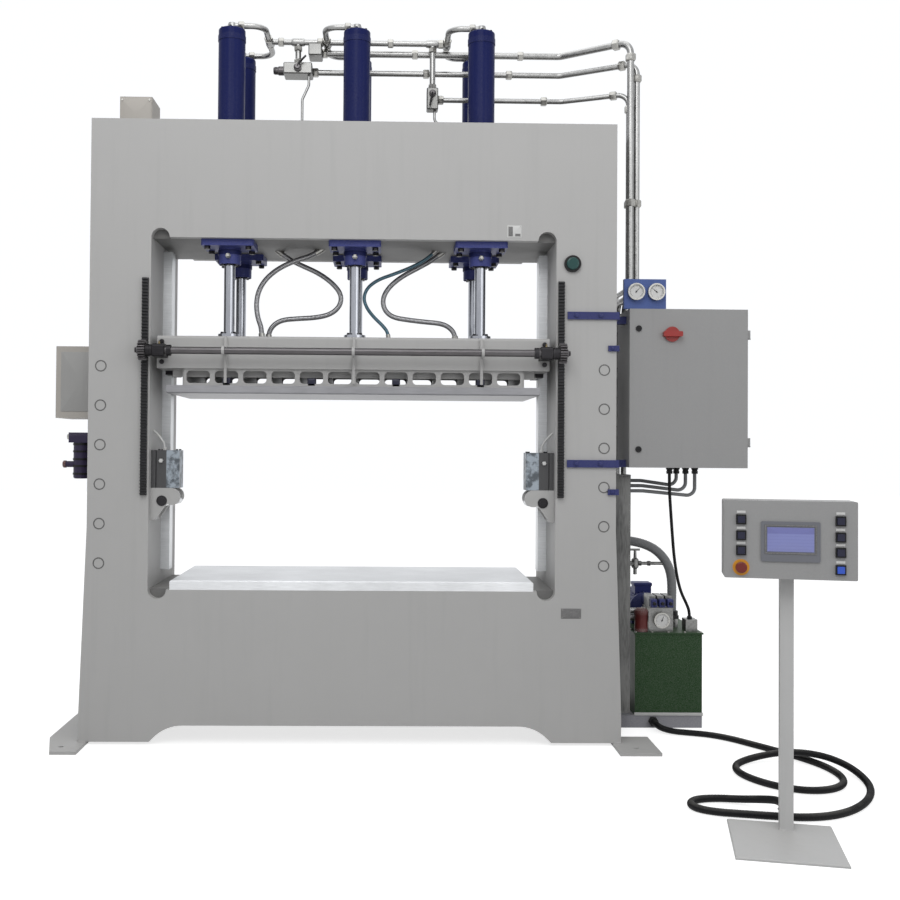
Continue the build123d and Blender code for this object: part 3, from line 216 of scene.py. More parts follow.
def spread(tree, value, low, high, outLow=0.0, outHigh=1.0):
    inputs = {"Value": value, "From Min": low, "From Max": high, "To Min": outLow, "To Max": outHigh}
    return addNode(tree, "ShaderNodeMapRange", inputs, interpolation_type="SMOOTHSTEP").outputs["Result"]


def mixColour(tree, share, first, second):
    node = addNode(tree, "ShaderNodeMix", data_type="RGBA")
    for socket, value in ((node.inputs[0], share), (node.inputs[6], first), (node.inputs[7], second)):
        if isinstance(value, bpy.types.NodeSocket):
            tree.links.new(value, socket)
        else:
            socket.default_value = value
    return node.outputs[2]


def calc(tree, kind, first, second=0.0):
    return addNode(tree, "ShaderNodeMath", {0: first, 1: second}, operation=kind).outputs[0]


# Shared surface variation: broad mottling, fine grain, upward dust and worn edges
def makeSurfaceGroup():
    tree, inside, outside = newGroup(
        "surfaceVariation",
        [("Scale", "NodeSocketFloat", 1.0)],
        [(label, "NodeSocketFloat") for label in ("Broad", "Grain", "Dust", "Edge", "Streak")],
    )
    place = addNode(tree, "ShaderNodeTexCoord").outputs["Object"]
    sized = {0: place, "Scale": inside.outputs["Scale"]}
    scaled = addNode(tree, "ShaderNodeVectorMath", sized, operation="SCALE").outputs[0]
    mottle = {"Vector": scaled, "Scale": 2.3, "Detail": 5.0, "Roughness": 0.6}
    broad = addNode(tree, "ShaderNodeTexNoise", mottle)
    grain = addNode(tree, "ShaderNodeTexNoise", {"Vector": scaled, "Scale": 420.0, "Detail": 2.0})
    long = addNode(tree, "ShaderNodeMapping", {"Vector": scaled, "Scale": (9.0, 9.0, 0.5)}).outputs[0]
    streak = addNode(tree, "ShaderNodeTexNoise", {"Vector": long, "Scale": 3.0, "Detail": 4.0})
    geometry = addNode(tree, "ShaderNodeNewGeometry")
    normal = addNode(tree, "ShaderNodeSeparateXYZ", {0: geometry.outputs["Normal"]})
    upward = spread(tree, normal.outputs["Z"], 0.3, 1.0)
    dust = calc(tree, "MULTIPLY", upward, spread(tree, broad.outputs["Fac"], 0.35, 0.65))
    edge = spread(tree, geometry.outputs["Pointiness"], 0.52, 0.6)
    worn = calc(tree, "MULTIPLY", edge, spread(tree, grain.outputs["Fac"], 0.4, 0.6))
    for label, value in (
        ("Broad", broad.outputs["Fac"]),
        ("Grain", grain.outputs["Fac"]),
        ("Dust", dust),
        ("Edge", worn),
        ("Streak", streak.outputs["Fac"]),
    ):
        tree.links.new(value, outside.inputs[label])
    return tree


surfaceGroup = makeSurfaceGroup()
materials = {}


def newMaterial(name):
    material = bpy.data.materials.new(name)
    material.use_nodes = True
    tree = material.node_tree
    shader = tree.nodes["Principled BSDF"]
    varied = addNode(tree, "ShaderNodeGroup", node_tree=surfaceGroup)
    materials[name] = material
    return tree, shader, varied


dustColour = (0.42, 0.40, 0.37, 1)
wearColour = (0.45, 0.44, 0.43, 1)
plasticDust = (0.3, 0.29, 0.27, 1)


def tone(colour, factor):
    return (*[min(1.0, c * factor) for c in colour], 1.0)


def bumpFrom(tree, shader, height, strength, distance):
    inputs = {"Height": height, "Strength": strength, "Distance": distance}
    tree.links.new(addNode(tree, "ShaderNodeBump", inputs).outputs[0], shader.inputs["Normal"])


# Paint: mottled colour, dusty tops, brighter worn edges and a light orange peel
def paint(name, colour, rough=0.42, vary=0.12, dust=0.25, wear=0.3, peel=0.15, shine=0.3):
    tree, shader, varied = newMaterial(name)
    mottled = mixColour(tree, varied.outputs["Broad"], tone(colour, 1 - vary), tone(colour, 1 + vary))
    streaks = spread(tree, varied.outputs["Streak"], 0.5, 0.8, 0, 0.35)
    streaked = mixColour(tree, streaks, mottled, tone(colour, 1 - 2 * vary))
    dusted = mixColour(tree, calc(tree, "MULTIPLY", varied.outputs["Dust"], dust), streaked, dustColour)
    worn = mixColour(tree, calc(tree, "MULTIPLY", varied.outputs["Edge"], wear), dusted, wearColour)
    tree.links.new(worn, shader.inputs["Base Color"])
    roughness = spread(tree, varied.outputs["Broad"], 0.2, 0.8, rough - 0.06, rough + 0.10)
    tree.links.new(roughness, shader.inputs["Roughness"])
    shader.inputs["Specular IOR Level"].default_value = shine
    bumpFrom(tree, shader, varied.outputs["Grain"], peel, 0.0004)


# Steel: fine lines along one axis, patches of different polish
def steel(name, colour, rough=0.3, lines=(1.0, 60.0, 60.0), metallic=1.0, vary=0.18):
    tree, shader, varied = newMaterial(name)
    place = addNode(tree, "ShaderNodeTexCoord").outputs["Object"]
    stretched = addNode(tree, "ShaderNodeMapping", {"Vector": place, "Scale": lines}).outputs[0]
    fine = {"Vector": stretched, "Scale": 14.0, "Detail": 4.0}
    brushed = addNode(tree, "ShaderNodeTexNoise", fine).outputs["Fac"]
    halves = [calc(tree, "MULTIPLY", value, 0.5) for value in (brushed, varied.outputs["Broad"])]
    patchy = calc(tree, "ADD", *halves)
    shade = mixColour(tree, spread(tree, patchy, 0.3, 0.7), tone(colour, 1 - vary), tone(colour, 1 + vary))
    tree.links.new(shade, shader.inputs["Base Color"])
    shader.inputs["Metallic"].default_value = metallic
    tree.links.new(spread(tree, brushed, 0.2, 0.8, rough - 0.08, rough + 0.14), shader.inputs["Roughness"])
    bumpFrom(tree, shader, brushed, 0.12, 0.0003)


# Moulded plastic or rubber: fine grain, slight wear
def plastic(name, colour, rough=0.4, grain=0.2, vary=0.1, coat=0.0, shine=0.3):
    tree, shader, varied = newMaterial(name)
    varied.inputs["Scale"].default_value = 2.0
    mottled = mixColour(tree, varied.outputs["Broad"], tone(colour, 1 - vary), tone(colour, 1 + vary))
    worn = mixColour(tree, calc(tree, "MULTIPLY", varied.outputs["Dust"], 0.2), mottled, plasticDust)
    tree.links.new(worn, shader.inputs["Base Color"])
    roughness = spread(tree, varied.outputs["Grain"], 0.2, 0.8, rough - 0.05, rough + 0.08)
    tree.links.new(roughness, shader.inputs["Roughness"])
    shader.inputs["Coat Weight"].default_value = coat
    shader.inputs["Specular IOR Level"].default_value = shine
    bumpFrom(tree, shader, varied.outputs["Grain"], grain, 0.0003)


# Braided hose: two sets of wires cross on the tube's own UV map
def braid(name, wire, gap, turns=6.0, pitch=0.014):
    tree, shader, varied = newMaterial(name)
    wrap = addNode(tree, "ShaderNodeSeparateXYZ", {0: addNode(tree, "ShaderNodeTexCoord").outputs["UV"]})
    around = calc(tree, "MULTIPLY", wrap.outputs["X"], turns * 2 * math.pi)
    along = calc(tree, "MULTIPLY", wrap.outputs["Y"], 2 * math.pi / pitch)
    waves = [calc(tree, "SINE", calc(tree, kind, around, along)) for kind in ("ADD", "SUBTRACT")]
    cross = calc(tree, "MULTIPLY", *waves)
    strand = spread(tree, cross, -0.5, 0.5)
    shade = mixColour(tree, strand, (*gap, 1), (*wire, 1))
    patchy = mixColour(tree, spread(tree, varied.outputs["Broad"], 0.4, 0.7, 0, 0.4), shade, (*gap, 1))
    tree.links.new(patchy, shader.inputs["Base Color"])
    tree.links.new(spread(tree, strand, 0, 1, 0.6, 0.32), shader.inputs["Roughness"])
    tree.links.new(spread(tree, strand, 0, 1, 0.1, 0.8), shader.inputs["Metallic"])
    bumpFrom(tree, shader, strand, 0.5, 0.0008)


# Lit display: a pale field with a darker bar across its head, by height
def display(name, pale, bar, low, high):
    tree, shader, varied = newMaterial(name)
    coordinates = addNode(tree, "ShaderNodeTexCoord").outputs["Object"]
    place = addNode(tree, "ShaderNodeSeparateXYZ", {0: coordinates})
    rise = spread(tree, place.outputs["Z"], low, high)
    lines = calc(tree, "SINE", calc(tree, "MULTIPLY", place.outputs["Z"], 520.0))
    field = mixColour(tree, spread(tree, lines, 0.3, 0.9, 0, 0.22), (*pale, 1), (*bar, 1))
    shade = mixColour(tree, spread(tree, rise, 0.8, 0.86), field, (*bar, 1))
    cloudy = mixColour(tree, spread(tree, varied.outputs["Broad"], 0.4, 0.6, 0, 0.1), shade, (*bar, 1))
    tree.links.new(cloudy, shader.inputs["Base Color"])
    tree.links.new(cloudy, shader.inputs["Emission Color"])
    shader.inputs["Emission Strength"].default_value = 0.15
    tree.links.new(spread(tree, varied.outputs["Grain"], 0.2, 0.8, 0.1, 0.18), shader.inputs["Roughness"])


# Latch: painted below, zinc block above it and a dark cylinder against the column, by place
def latchFinish(name, painted, zinc, dark, split, column):
    tree, shader, varied = newMaterial(name)
    varied.inputs["Scale"].default_value = 9.0
    coordinates = addNode(tree, "ShaderNodeTexCoord").outputs["Object"]
    place = addNode(tree, "ShaderNodeSeparateXYZ", {0: coordinates})
    above = spread(tree, place.outputs["Z"], split - 0.001, split + 0.001)
    inward = spread(tree, calc(tree, "ABSOLUTE", place.outputs["X"]), column - 0.002, column + 0.002)
    patches = spread(tree, varied.outputs["Broad"], 0.42, 0.58)
    spangle = mixColour(tree, patches, tone(zinc, 0.45), tone(zinc, 1.4))
    bare = mixColour(tree, inward, spangle, (*dark, 1))
    mottled = mixColour(tree, varied.outputs["Broad"], tone(painted, 0.94), tone(painted, 1.06))
    tree.links.new(mixColour(tree, above, mottled, bare), shader.inputs["Base Color"])
    zincShare = calc(tree, "MULTIPLY", above, calc(tree, "SUBTRACT", 1.0, inward))
    tree.links.new(calc(tree, "MULTIPLY", zincShare, 0.8), shader.inputs["Metallic"])
    tree.links.new(spread(tree, varied.outputs["Grain"], 0.2, 0.8, 0.34, 0.5), shader.inputs["Roughness"])
    bumpFrom(tree, shader, varied.outputs["Grain"], 0.15, 0.0004)


paint("framePaint", (0.45, 0.447, 0.44), rough=0.5, vary=0.05, dust=0.1, wear=0.1)
# Frame decks: a dark grey that is painted shade for the crown's underside; the deck tops take the same dark
# colour
paint("deckPaintedShade", (0.16, 0.159, 0.156), rough=0.5, vary=0.1, dust=0.2, wear=0.1)
paint("palePaint", (0.51, 0.51, 0.505), rough=0.45, vary=0.06, dust=0.15, wear=0.15)
paint("creamPaint", (0.45, 0.425, 0.39), rough=0.5, vary=0.06, dust=0.1, wear=0.1)
paint("cabinetPaint", (0.30, 0.30, 0.30), rough=0.5, vary=0.05, dust=0.15, wear=0.15, peel=0.4)
paint("boxGrey", (0.37, 0.368, 0.36), rough=0.5, vary=0.1, dust=0.1, wear=0.1)
paint("plateGrey", (0.13, 0.13, 0.13), rough=0.5, vary=0.15, dust=0.1)
# A near-black grey for the tie-end rings: painted shade of the gap round each tie bar
paint("seamShade", (0.085, 0.085, 0.085), rough=0.6, vary=0.4, dust=0.1)
paint("barrelBlue", (0.009, 0.014, 0.085), rough=0.3, vary=0.12, dust=0.02, wear=0.05, shine=0.06)
paint("bluePaint", (0.024, 0.031, 0.14), rough=0.4, vary=0.16, dust=0.04, wear=0.1, shine=0.15)
paint("flangeBlue", (0.042, 0.054, 0.22), rough=0.4, vary=0.14, dust=0.04, wear=0.1, shine=0.15)
paint("airPurple", (0.034, 0.027, 0.060), rough=0.35, vary=0.2, dust=0.04, wear=0.1, shine=0.2)
paint("gaugeBlue", (0.055, 0.10, 0.30), rough=0.4, vary=0.1, dust=0.05, wear=0.1, shine=0.2)
paint("lilacPaint", (0.25, 0.25, 0.28), rough=0.45, vary=0.12, dust=0.2)
paint("greenPaint", (0.016, 0.050, 0.015), rough=0.4, vary=0.12, dust=0.03, wear=0.1, peel=0.05, shine=0.08)
paint("redPaint", (0.09, 0.013, 0.012), rough=0.4, vary=0.2, dust=0.1)
latchFinish("latchPaint", (0.42, 0.417, 0.41), (0.20, 0.225, 0.25), (0.05, 0.05, 0.052), 1.2532, 0.925)
steel("groundSteel", (0.62, 0.63, 0.64), rough=0.36)
steel("platenSteel", (0.24, 0.24, 0.25), rough=0.4)
steel("pipeSteel", (0.31, 0.31, 0.305), rough=0.3, lines=(4.0, 4.0, 4.0))
steel("valveSteel", (0.19, 0.19, 0.185), rough=0.34, lines=(6.0, 6.0, 6.0), vary=0.4)
steel("trunkZinc", (0.10, 0.10, 0.098), rough=0.36, lines=(9.0, 9.0, 1.5), vary=0.35)
steel("hardChrome", (0.34, 0.35, 0.38), rough=0.14, lines=(40.0, 40.0, 1.0), vary=0.12)
steel("darkSteel", (0.030, 0.029, 0.031), rough=0.42, vary=0.4)
steel("shaftSteel", (0.095, 0.09, 0.093), rough=0.3, metallic=0.8, vary=0.3)
steel("rackSteel", (0.035, 0.035, 0.037), rough=0.45, metallic=0.6, vary=0.3)
steel("brightZinc", (0.36, 0.355, 0.335), rough=0.3, lines=(8.0, 8.0, 8.0))
steel("dullBrass", (0.25, 0.20, 0.11), rough=0.36, lines=(8.0, 8.0, 8.0))
plastic("blackPlastic", (0.012, 0.012, 0.013), rough=0.45, shine=0.2)
plastic("blackRubber", (0.005, 0.005, 0.006), rough=0.36, grain=0.25, shine=0.15)
plastic("conduitGrey", (0.20, 0.205, 0.21), rough=0.5)
plastic("redPlastic", (0.30, 0.018, 0.014), rough=0.3, coat=0.1)
plastic("stopRed", (0.15, 0.016, 0.010), rough=0.3, coat=0.1)
plastic("bluePlastic", (0.025, 0.09, 0.55), rough=0.25, coat=0.3)
plastic("lampPlastic", (0.007, 0.055, 0.05), rough=0.2, grain=0.05, coat=0.2)
plastic("keyPlastic", (0.010, 0.011, 0.032), rough=0.32, coat=0.1)
plastic("screenFrame", (0.16, 0.165, 0.185), rough=0.35, grain=0.1)
plastic("whitePlastic", (0.62, 0.62, 0.61), rough=0.4)
plastic("yellowPlastic", (0.62, 0.27, 0.025), rough=0.35)
braid("hoseBraid", (0.60, 0.60, 0.61), (0.06, 0.06, 0.07))
braid("hoseTeal", (0.16, 0.30, 0.38), (0.02, 0.045, 0.06))
display("litDisplay", (0.19, 0.21, 0.45), (0.14, 0.15, 0.36), 1.081, 1.172)
print("materials made")

looks = {
    "framePaint": ["front_plate", "rear_plate", "column_plates", "ram_beam", "column_ties", "foot_plates"],
    # the decks' dark colour is painted shade under the crown
    "deckPaintedShade": ["frame_decks"],
    "latchPaint": ["latch_brackets"],
    "creamPaint": ["service_boxes"],
    "palePaint": ["pedestal_stand"],
    "cabinetPaint": ["cabinet_shell", "cabinet_door", "panel_housing"],
    "barrelBlue": ["cylinder_barrels"],
    "flangeBlue": ["cylinder_flanges"],
    "airPurple": ["air_service_unit"],
    "bluePaint": ["cabinet_brackets", "pump_motor"],
    "gaugeBlue": ["gauge_panel"],
    "lilacPaint": ["tank_skid"],
    "greenPaint": ["oil_tank"],
    "groundSteel": ["bolster_plate", "guide_rails", "latch_pawl_left", "latch_pawl_right"],
    "platenSteel": ["ram_platen"],
    "trunkZinc": ["cable_trunk"],
    "pipeSteel": ["oil_pipes", "header_pipes"],
    "valveSteel": ["pipe_valves", "valve_manifold"],
    "hardChrome": ["piston_rods"],
    "shaftSteel": ["levelling_shaft"],
    "rackSteel": ["levelling_racks"],
    "darkSteel": ["flange_bolts", "guide_shoes", "shaft_bearings"],
    "blackPlastic": ["cable_glands", "door_lock_upper", "door_lock_lower"],
    "conduitGrey": ["conduit_bends"],
    "screenFrame": ["panel_screen"],
    "redPlastic": ["main_switch"],
    "stopRed": ["emergency_stop"],
    "lampPlastic": ["signal_lamp"],
    "bluePlastic": ["start_button"],
    "keyPlastic": [
        "button_left_top", "button_left_middle", "button_left_low",
        "button_right_top", "button_right_middle", "button_right_low",
    ],
}
for look, members in looks.items():
    for member in members:
        for place in nodes[member].material_slots:
            place.material = materials[look]

pieceSlots = {  # the slot listed for each look; addPiece looks it up but does not set it
    "frame_paint": ["framePaint", "palePaint", "creamPaint", "boxGrey", "whitePlastic"],
    "cabinet_paint": ["cabinetPaint"],
    "blue_paint": ["barrelBlue", "bluePaint"],
    "ground_steel": ["pipeSteel", "valveSteel", "trunkZinc", "shaftSteel", "brightZinc", "dullBrass"],
    "dark_steel": ["darkSteel", "seamShade", "plateGrey", "keyPlastic"],
    "black_plastic": ["blackPlastic"],
    "grey_conduit": ["conduitGrey"],
    "hose_rubber": ["blackRubber"],
    "red_plastic": ["redPaint", "yellowPlastic"],
    "screen_glass": ["litDisplay"],
}
slotOfLook = {look: slot for slot, members in pieceSlots.items() for look in members}


# Cords: the routes of the solids, as control points of one smooth spline each
cordRoutes = {
    "hose_left_outer": [
        (-0.170, -0.030, 2.500), (-0.225, -0.030, 2.462), (-0.310, -0.030, 2.436), (-0.400, -0.030, 2.395),
        (-0.468, -0.030, 2.340), (-0.508, -0.030, 2.275), (-0.520, -0.030, 2.205), (-0.512, -0.030, 2.135),
        (-0.488, -0.030, 2.072), (-0.488, -0.030, 2.0073),
    ],
    "hose_left_inner": [
        (-0.420, 0.030, 2.500), (-0.365, 0.030, 2.452), (-0.285, 0.030, 2.415), (-0.200, 0.030, 2.378),
        (-0.125, 0.030, 2.325), (-0.078, 0.030, 2.265), (-0.085, 0.030, 2.205), (-0.135, 0.030, 2.160),
        (-0.215, 0.030, 2.142), (-0.300, 0.030, 2.137), (-0.386, 0.030, 2.130), (-0.434, 0.030, 2.104),
        (-0.462, 0.030, 2.058), (-0.462, 0.030, 2.0073),
    ],
    "hose_right_outer": [
        (0.425, -0.030, 2.500), (0.370, -0.030, 2.448), (0.290, -0.030, 2.405), (0.205, -0.030, 2.370),
        (0.115, -0.030, 2.338), (0.058, -0.030, 2.295), (0.038, -0.030, 2.240), (0.056, -0.030, 2.188),
        (0.094, -0.030, 2.140), (0.140, -0.030, 2.098), (0.172, -0.030, 2.056), (0.172, -0.030, 2.0073),
    ],
    "hose_right_inner": [
        (0.460, 0.030, 2.500), (0.400, 0.030, 2.452), (0.320, 0.030, 2.408), (0.240, 0.030, 2.365),
        (0.175, 0.030, 2.312), (0.138, 0.030, 2.250), (0.146, 0.030, 2.188), (0.190, 0.030, 2.148),
        (0.270, 0.030, 2.135), (0.360, 0.030, 2.125), (0.450, 0.030, 2.118), (0.498, 0.030, 2.094),
        (0.524, 0.030, 2.054), (0.524, 0.030, 2.0073),
    ],
    "suction_conduit": [
        (1.325, 0.230, 0.9657), (1.405, 0.230, 0.9684), (1.495, 0.230, 0.964), (1.578, 0.231, 0.946),
        (1.645, 0.232, 0.911), (1.696, 0.232, 0.854), (1.722, 0.232, 0.786), (1.728, 0.232, 0.708),
        (1.726, 0.232, 0.634), (1.726, 0.232, 0.560),
    ],
    "unit_cable": [
        (1.6202, -0.130, 1.340), (1.6202, -0.130, 1.255), (1.632, -0.114, 1.140), (1.648, -0.084, 1.020),
        (1.668, -0.044, 0.900), (1.698, 0.010, 0.790), (1.732, 0.060, 0.705), (1.772, 0.098, 0.640),
        (1.790, 0.106, 0.598), (1.790, 0.106, 0.560),
    ],
    "panel_cable": [
        (1.575, 0, 0.036), (1.575, -0.046, 0.035), (1.590, -0.096, 0.027), (1.640, -0.128, 0.019),
        (1.718, -0.148, 0.0165), (1.815, -0.182, 0.0165), (1.900, -0.258, 0.0165), (1.975, -0.368, 0.0165),
        (2.060, -0.494, 0.0165), (2.138, -0.624, 0.0165), (2.188, -0.752, 0.0165), (2.200, -0.890, 0.0165),
        (2.168, -1.010, 0.0165), (2.086, -1.094, 0.0165), (1.976, -1.118, 0.0165), (1.868, -1.066, 0.0165),
        (1.790, -0.964, 0.0165), (1.752, -0.848, 0.0165), (1.770, -0.736, 0.0165), (1.846, -0.652, 0.019),
        (1.955, -0.616, 0.034), (2.072, -0.634, 0.054), (2.186, -0.692, 0.054), (2.262, -0.784, 0.038),
        (2.288, -0.912, 0.019), (2.254, -1.082, 0.0165), (2.172, -1.240, 0.0165), (2.062, -1.366, 0.0165),
        (1.944, -1.440, 0.0165), (1.824, -1.462, 0.0165), (1.706, -1.444, 0.0165), (1.594, -1.418, 0.0165),
        (1.494, -1.396, 0.0165), (1.426, -1.352, 0.0165), (1.412, -1.284, 0.0165), (1.462, -1.228, 0.0165),
        (1.548, -1.216, 0.0165), (1.636, -1.248, 0.022), (1.704, -1.312, 0.042), (1.736, -1.392, 0.064),
        (1.733, -1.468, 0.072), (1.719, -1.527, 0.072),
    ],
}
cordFacts = {
    "hose_left_outer": {"radius": 0.013, "look": "hoseBraid"},
    "hose_left_inner": {"radius": 0.013, "look": "hoseBraid"},
    "hose_right_outer": {"radius": 0.009, "look": "hoseTeal"},
    "hose_right_inner": {"radius": 0.013, "look": "hoseBraid"},
    "suction_conduit": {"radius": 0.026, "look": "conduitGrey", "stiffness": "stiff", "ridge": 0.008},
    "unit_cable": {"radius": 0.008, "look": "blackRubber"},
    "panel_cable": {"radius": 0.016, "look": "blackRubber", "lay": "loose", "ridge": 0.006},
}
hoseNames = [name for name in cordRoutes if name.startswith("hose")]
cordStep = 0.006
hoseBlend = {"start": (0, 0, 2.47), "end": (0, 0, 2.06)}  # from the crown to the ram


def splinePoints(name, route):
    curve = bpy.data.curves.new(name + "_line", "CURVE")
    curve.dimensions = "3D"
    curve.resolution_u = 24
    spline = curve.splines.new("NURBS")
    spline.points.add(len(route) - 1)
    spline.points.foreach_set("co", np.column_stack([route, np.ones(len(route))]).ravel())
    spline.order_u = 3
    spline.use_endpoint_u = True
    carrier = bpy.data.objects.new(name + "_line", curve)
    mesh = bpy.data.meshes.new_from_object(carrier)
    points = np.empty(len(mesh.vertices) * 3)
    mesh.vertices.foreach_get("co", points)
    bpy.data.objects.remove(carrier)
    bpy.data.curves.remove(curve)
    bpy.data.meshes.remove(mesh)
    return points.reshape(-1, 3)


def evenPoints(points, step):
    along = np.concatenate([[0], np.cumsum(np.linalg.norm(np.diff(points, axis=0), axis=1))])
    count = max(8, int(along[-1] / step))
    spot = np.linspace(0, along[-1], count)
    return np.stack([np.interp(spot, along, points[:, k]) for k in range(3)], -1), along[-1]


def slotOf(node):
    return next(part["material_slot"] for part in frame["record"]["subparts"] if part["node"] == node)


def addCord(name, route, facts):
    line = splinePoints(name, route)
    ridge = facts.get("ridge")
    path, length = evenPoints(line, ridge / 4 if ridge else cordStep)
    radius = np.full(len(path), facts["radius"])
    if ridge:  # corrugated conduit: the radius swings by a tenth of itself
        radius *= 0.95 + 0.05 * np.cos(np.arange(len(path)) * np.pi / 2)
    isHose = name in hoseNames
    body = None if isHose else "frame"
    piece = addPiece(name + "_tube", [tube(path, radius, sides=18)], facts["look"], body, slotOf(name), 80)
    if isHose:
        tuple(hoseBlend["start"])
        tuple(hoseBlend["end"])
        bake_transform(piece)
    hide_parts(name)
    facts.get("stiffness", "medium")
    facts.get("lay", "hanging")


for cordName, cordRoute in cordRoutes.items():
    addCord(cordName, cordRoute, cordFacts[cordName])
print("cords laid")


# Small shapes that the pieces below share
alongX, alongY, alongZ = (1, 0, 0), (0, 1, 0), (0, 0, 1)
againstX, againstY, againstZ = (-1, 0, 0), (0, -1, 0), (0, 0, -1)
both = (-1, 1)
cylinderXs = (-0.632, 0.0, 0.632)
cylinderYs = (-0.22, 0.22)
cylinderSpots = list(product(cylinderXs, cylinderYs))


def each(shape, places, *sizes):  # the same shape at every place
    return [grid for place in places for grid in shape(place, *sizes)]


def mirrored(side, points):
    return [(side * x, y, z) for x, y, z in points]


def shifted(start, span):
    return [start + end for end in span]


def spanBlock(xs, ys, zs, edge, axis=1):  # a block between two values of x, y and z
    return block(*zip(xs, ys, zs), edge, axis)


def slab(x, half, ys, zs, edge, axis=1):  # a block that reaches evenly to both sides of x
    return spanBlock((x - half, x + half), ys, zs, edge, axis)


def hexHead(origin, axis, across, height):  # a six-sided head with a rounded crown on its washer
    corner, rim, lift, top = across / math.sqrt(3), across * 0.7, height * 0.2, height * 1.12
    washer = [(0, 0), (rim, 0), (rim, lift), (0, lift)]
    head = [(0, lift), (corner, lift), (corner, height), (corner * 0.84, top), (0, top)]
    return [lathe(origin, axis, washer, sides=24), lathe(origin, axis, head, sides=6)]


def socketHead(origin, axis, radius, height):  # a cap screw with a sunk socket
    bevel, mouth, bottom, sunk = radius * 0.92, radius * 0.55, radius * 0.5, height * 0.4
    head = [(0, 0), (radius, 0), (radius, height * 0.9), (bevel, height), (mouth, height)]
    return [lathe(origin, axis, head + [(bottom, sunk), (0, sunk)], sides=20)]


def pipeNut(middle, axis, radius, length, sides=6):  # a union nut, chamfered at both ends
    half, flat, neck = length / 2, length * 0.36, radius * 0.85
    profile = [(0, -half), (neck, -half), (radius, -flat), (radius, flat), (neck, half), (0, half)]
    return [lathe(middle, axis, profile, sides)]


def ringOf(origin, axis, inner, outer, low, high, sides=40, turn=0.0):  # a square-cut ring, closed all round
    profile = [(inner, low), (outer, low), (outer, high), (inner, high), (inner, low)]
    return lathe(origin, axis, profile, sides, turn)


def bead(corners, radius):  # a weld bead: a thin tube whose radius ripples along its way
    line, _ = evenPoints(np.array(corners, float), radius * 1.1)
    ripple = radius * (0.85 + 0.15 * np.cos(np.arange(len(line)) * 1.9))
    return tube(line, ripple, sides=7)


def ringBead(centre, axis, size, radius, count=48):  # an even bead bent to a circle
    across, over, _ = sideways(axis)
    angle = np.linspace(0, 2 * np.pi, count)[:, None]
    return tube(np.array(centre) + size * (np.cos(angle) * across + np.sin(angle) * over), radius, sides=7)


def circleOf(centre, size, count, start=0.0):  # places spread evenly on a level circle
    x, y, z = centre
    angles = start + np.arange(count) * 2 * np.pi / count
    return [(x + size * math.cos(angle), y + size * math.sin(angle), z) for angle in angles]


# Gauges: a face, marks and needle without words, and a bright rim; shares are of the face's radius
dialTrim = {
    "thick": 0.0008,
    "sweep": 0.75 * math.pi,
    "markCount": 19,
    "markLift": 0.0011,
    "markShares": (0.78, 0.92),
    "markWidthShare": 0.018,
    "needleLift": 0.0022,
    "needleShares": (-0.2, 0.3, 0.8),
    "needleWidthShares": np.array((0.045, 0.035, 0.01)),
    "hubLift": 0.0025,
    "hubShare": 0.1,
    "hubHeight": 0.003,
}


def dial(centre, size, swing, facts):
    def ray(angle, lift, shares):  # points along the direction of one angle, in front of the face
        way = np.array((math.sin(angle), 0, math.cos(angle)))
        return [np.array(centre) + (0, -lift, 0) + way * size * share for share in shares]

    thick, sweep = facts["thick"], facts["sweep"]
    face = lathe(centre, againstY, [(0, 0), (size, 0), (size, thick), (0, thick)], sides=40)
    marks = []
    for angle in np.linspace(-sweep, sweep, facts["markCount"]):
        ends = ray(angle, facts["markLift"], facts["markShares"])
        marks.append(tube(ends, size * facts["markWidthShare"], sides=5))
    needle = ray(swing, facts["needleLift"], facts["needleShares"])
    marks.append(tube(needle, size * facts["needleWidthShares"], sides=6))
    hub = np.array(centre) + (0, -facts["hubLift"], 0)
    return face, marks + pipeNut(hub, againstY, size * facts["hubShare"], facts["hubHeight"], 16)


def addGauges(names, gauges, size, rim):
    faces, marks, rims = [], [], []
    for centre, swing in gauges:
        face, mark = dial(centre, size, swing, dialTrim)
        faces.append(face)
        marks += mark
        rims.append(ringOf(centre, againstY, size, *rim))
    for name, grids, look in zip(names, (faces, marks, rims), ("whitePlastic", "blackPlastic", "brightZinc")):
        addPiece(name, grids, look)


# Frame: weld seams, tie ends, bare plates and bracket bolts
frameTrim = {
    "seam": 0.0035,
    "columnY": 0.305,
    "columnSeam": [(1.33, 0.02), (1.33, 0.15), (1.30, 1.06), (1.30, 3.07)],  # x and z up a column's edge
    "legY": 0.30195,
    "legSeam": [(1.0, 0.10), (1.0, 0.71)],
    "footBead": 0.005,
    "footZ": 0.017,
    "footSeams": [[(1.332, -0.345), (1.332, 0.345)], [(1.295, -0.352), (1.328, -0.352)]],  # x and y
    "barrelZ": 3.061,
    "barrelSeam": (0.0685, 0.004),  # the circle's radius and the bead's
    "tieX": 1.24,
    "tieY": 0.35,
    "tieZs": [0.885 + 0.1934 * k for k in range(6)],
    "tieRing": (0.0225, 0.0285, -0.0004, 0.0008),  # inner and outer radius, low and high on its axis
    "plates": {
        "upper_plate": ((0.755, 0.825), (2.505, 2.565), "whitePlastic"),
        "lower_plate": ((1.03, 1.13), (0.625, 0.675), "plateGrey"),
    },
    "plateY": (-0.3515, -0.3495),
    "plateEdge": 0.0007,
    "marks": [((0.760, 0.782), (2.511, 2.559)), ((0.794, 0.820), (2.511, 2.524))],
    "markY": (-0.3520, -0.3510),
    "markEdge": 0.0003,
    "rivet": (0.0022, 0.002, 12),  # nuts: radius, length and, where they are round, sides
    "rivetInset": (0.006, -0.006),
    "rivetY": -0.352,
    "boltY": -0.362,
    "armXs": (1.10, 1.22),
    "armZs": (1.3885, 2.1205),
    "armBolt": (0.019, 0.008),  # heads: width across flats and height
    "sideBolt": (1.312, -0.20),
    "clampX": 1.279,
    "clampZs": (1.249, 1.959),
    "clampBolt": (0.015, 0.007),
}


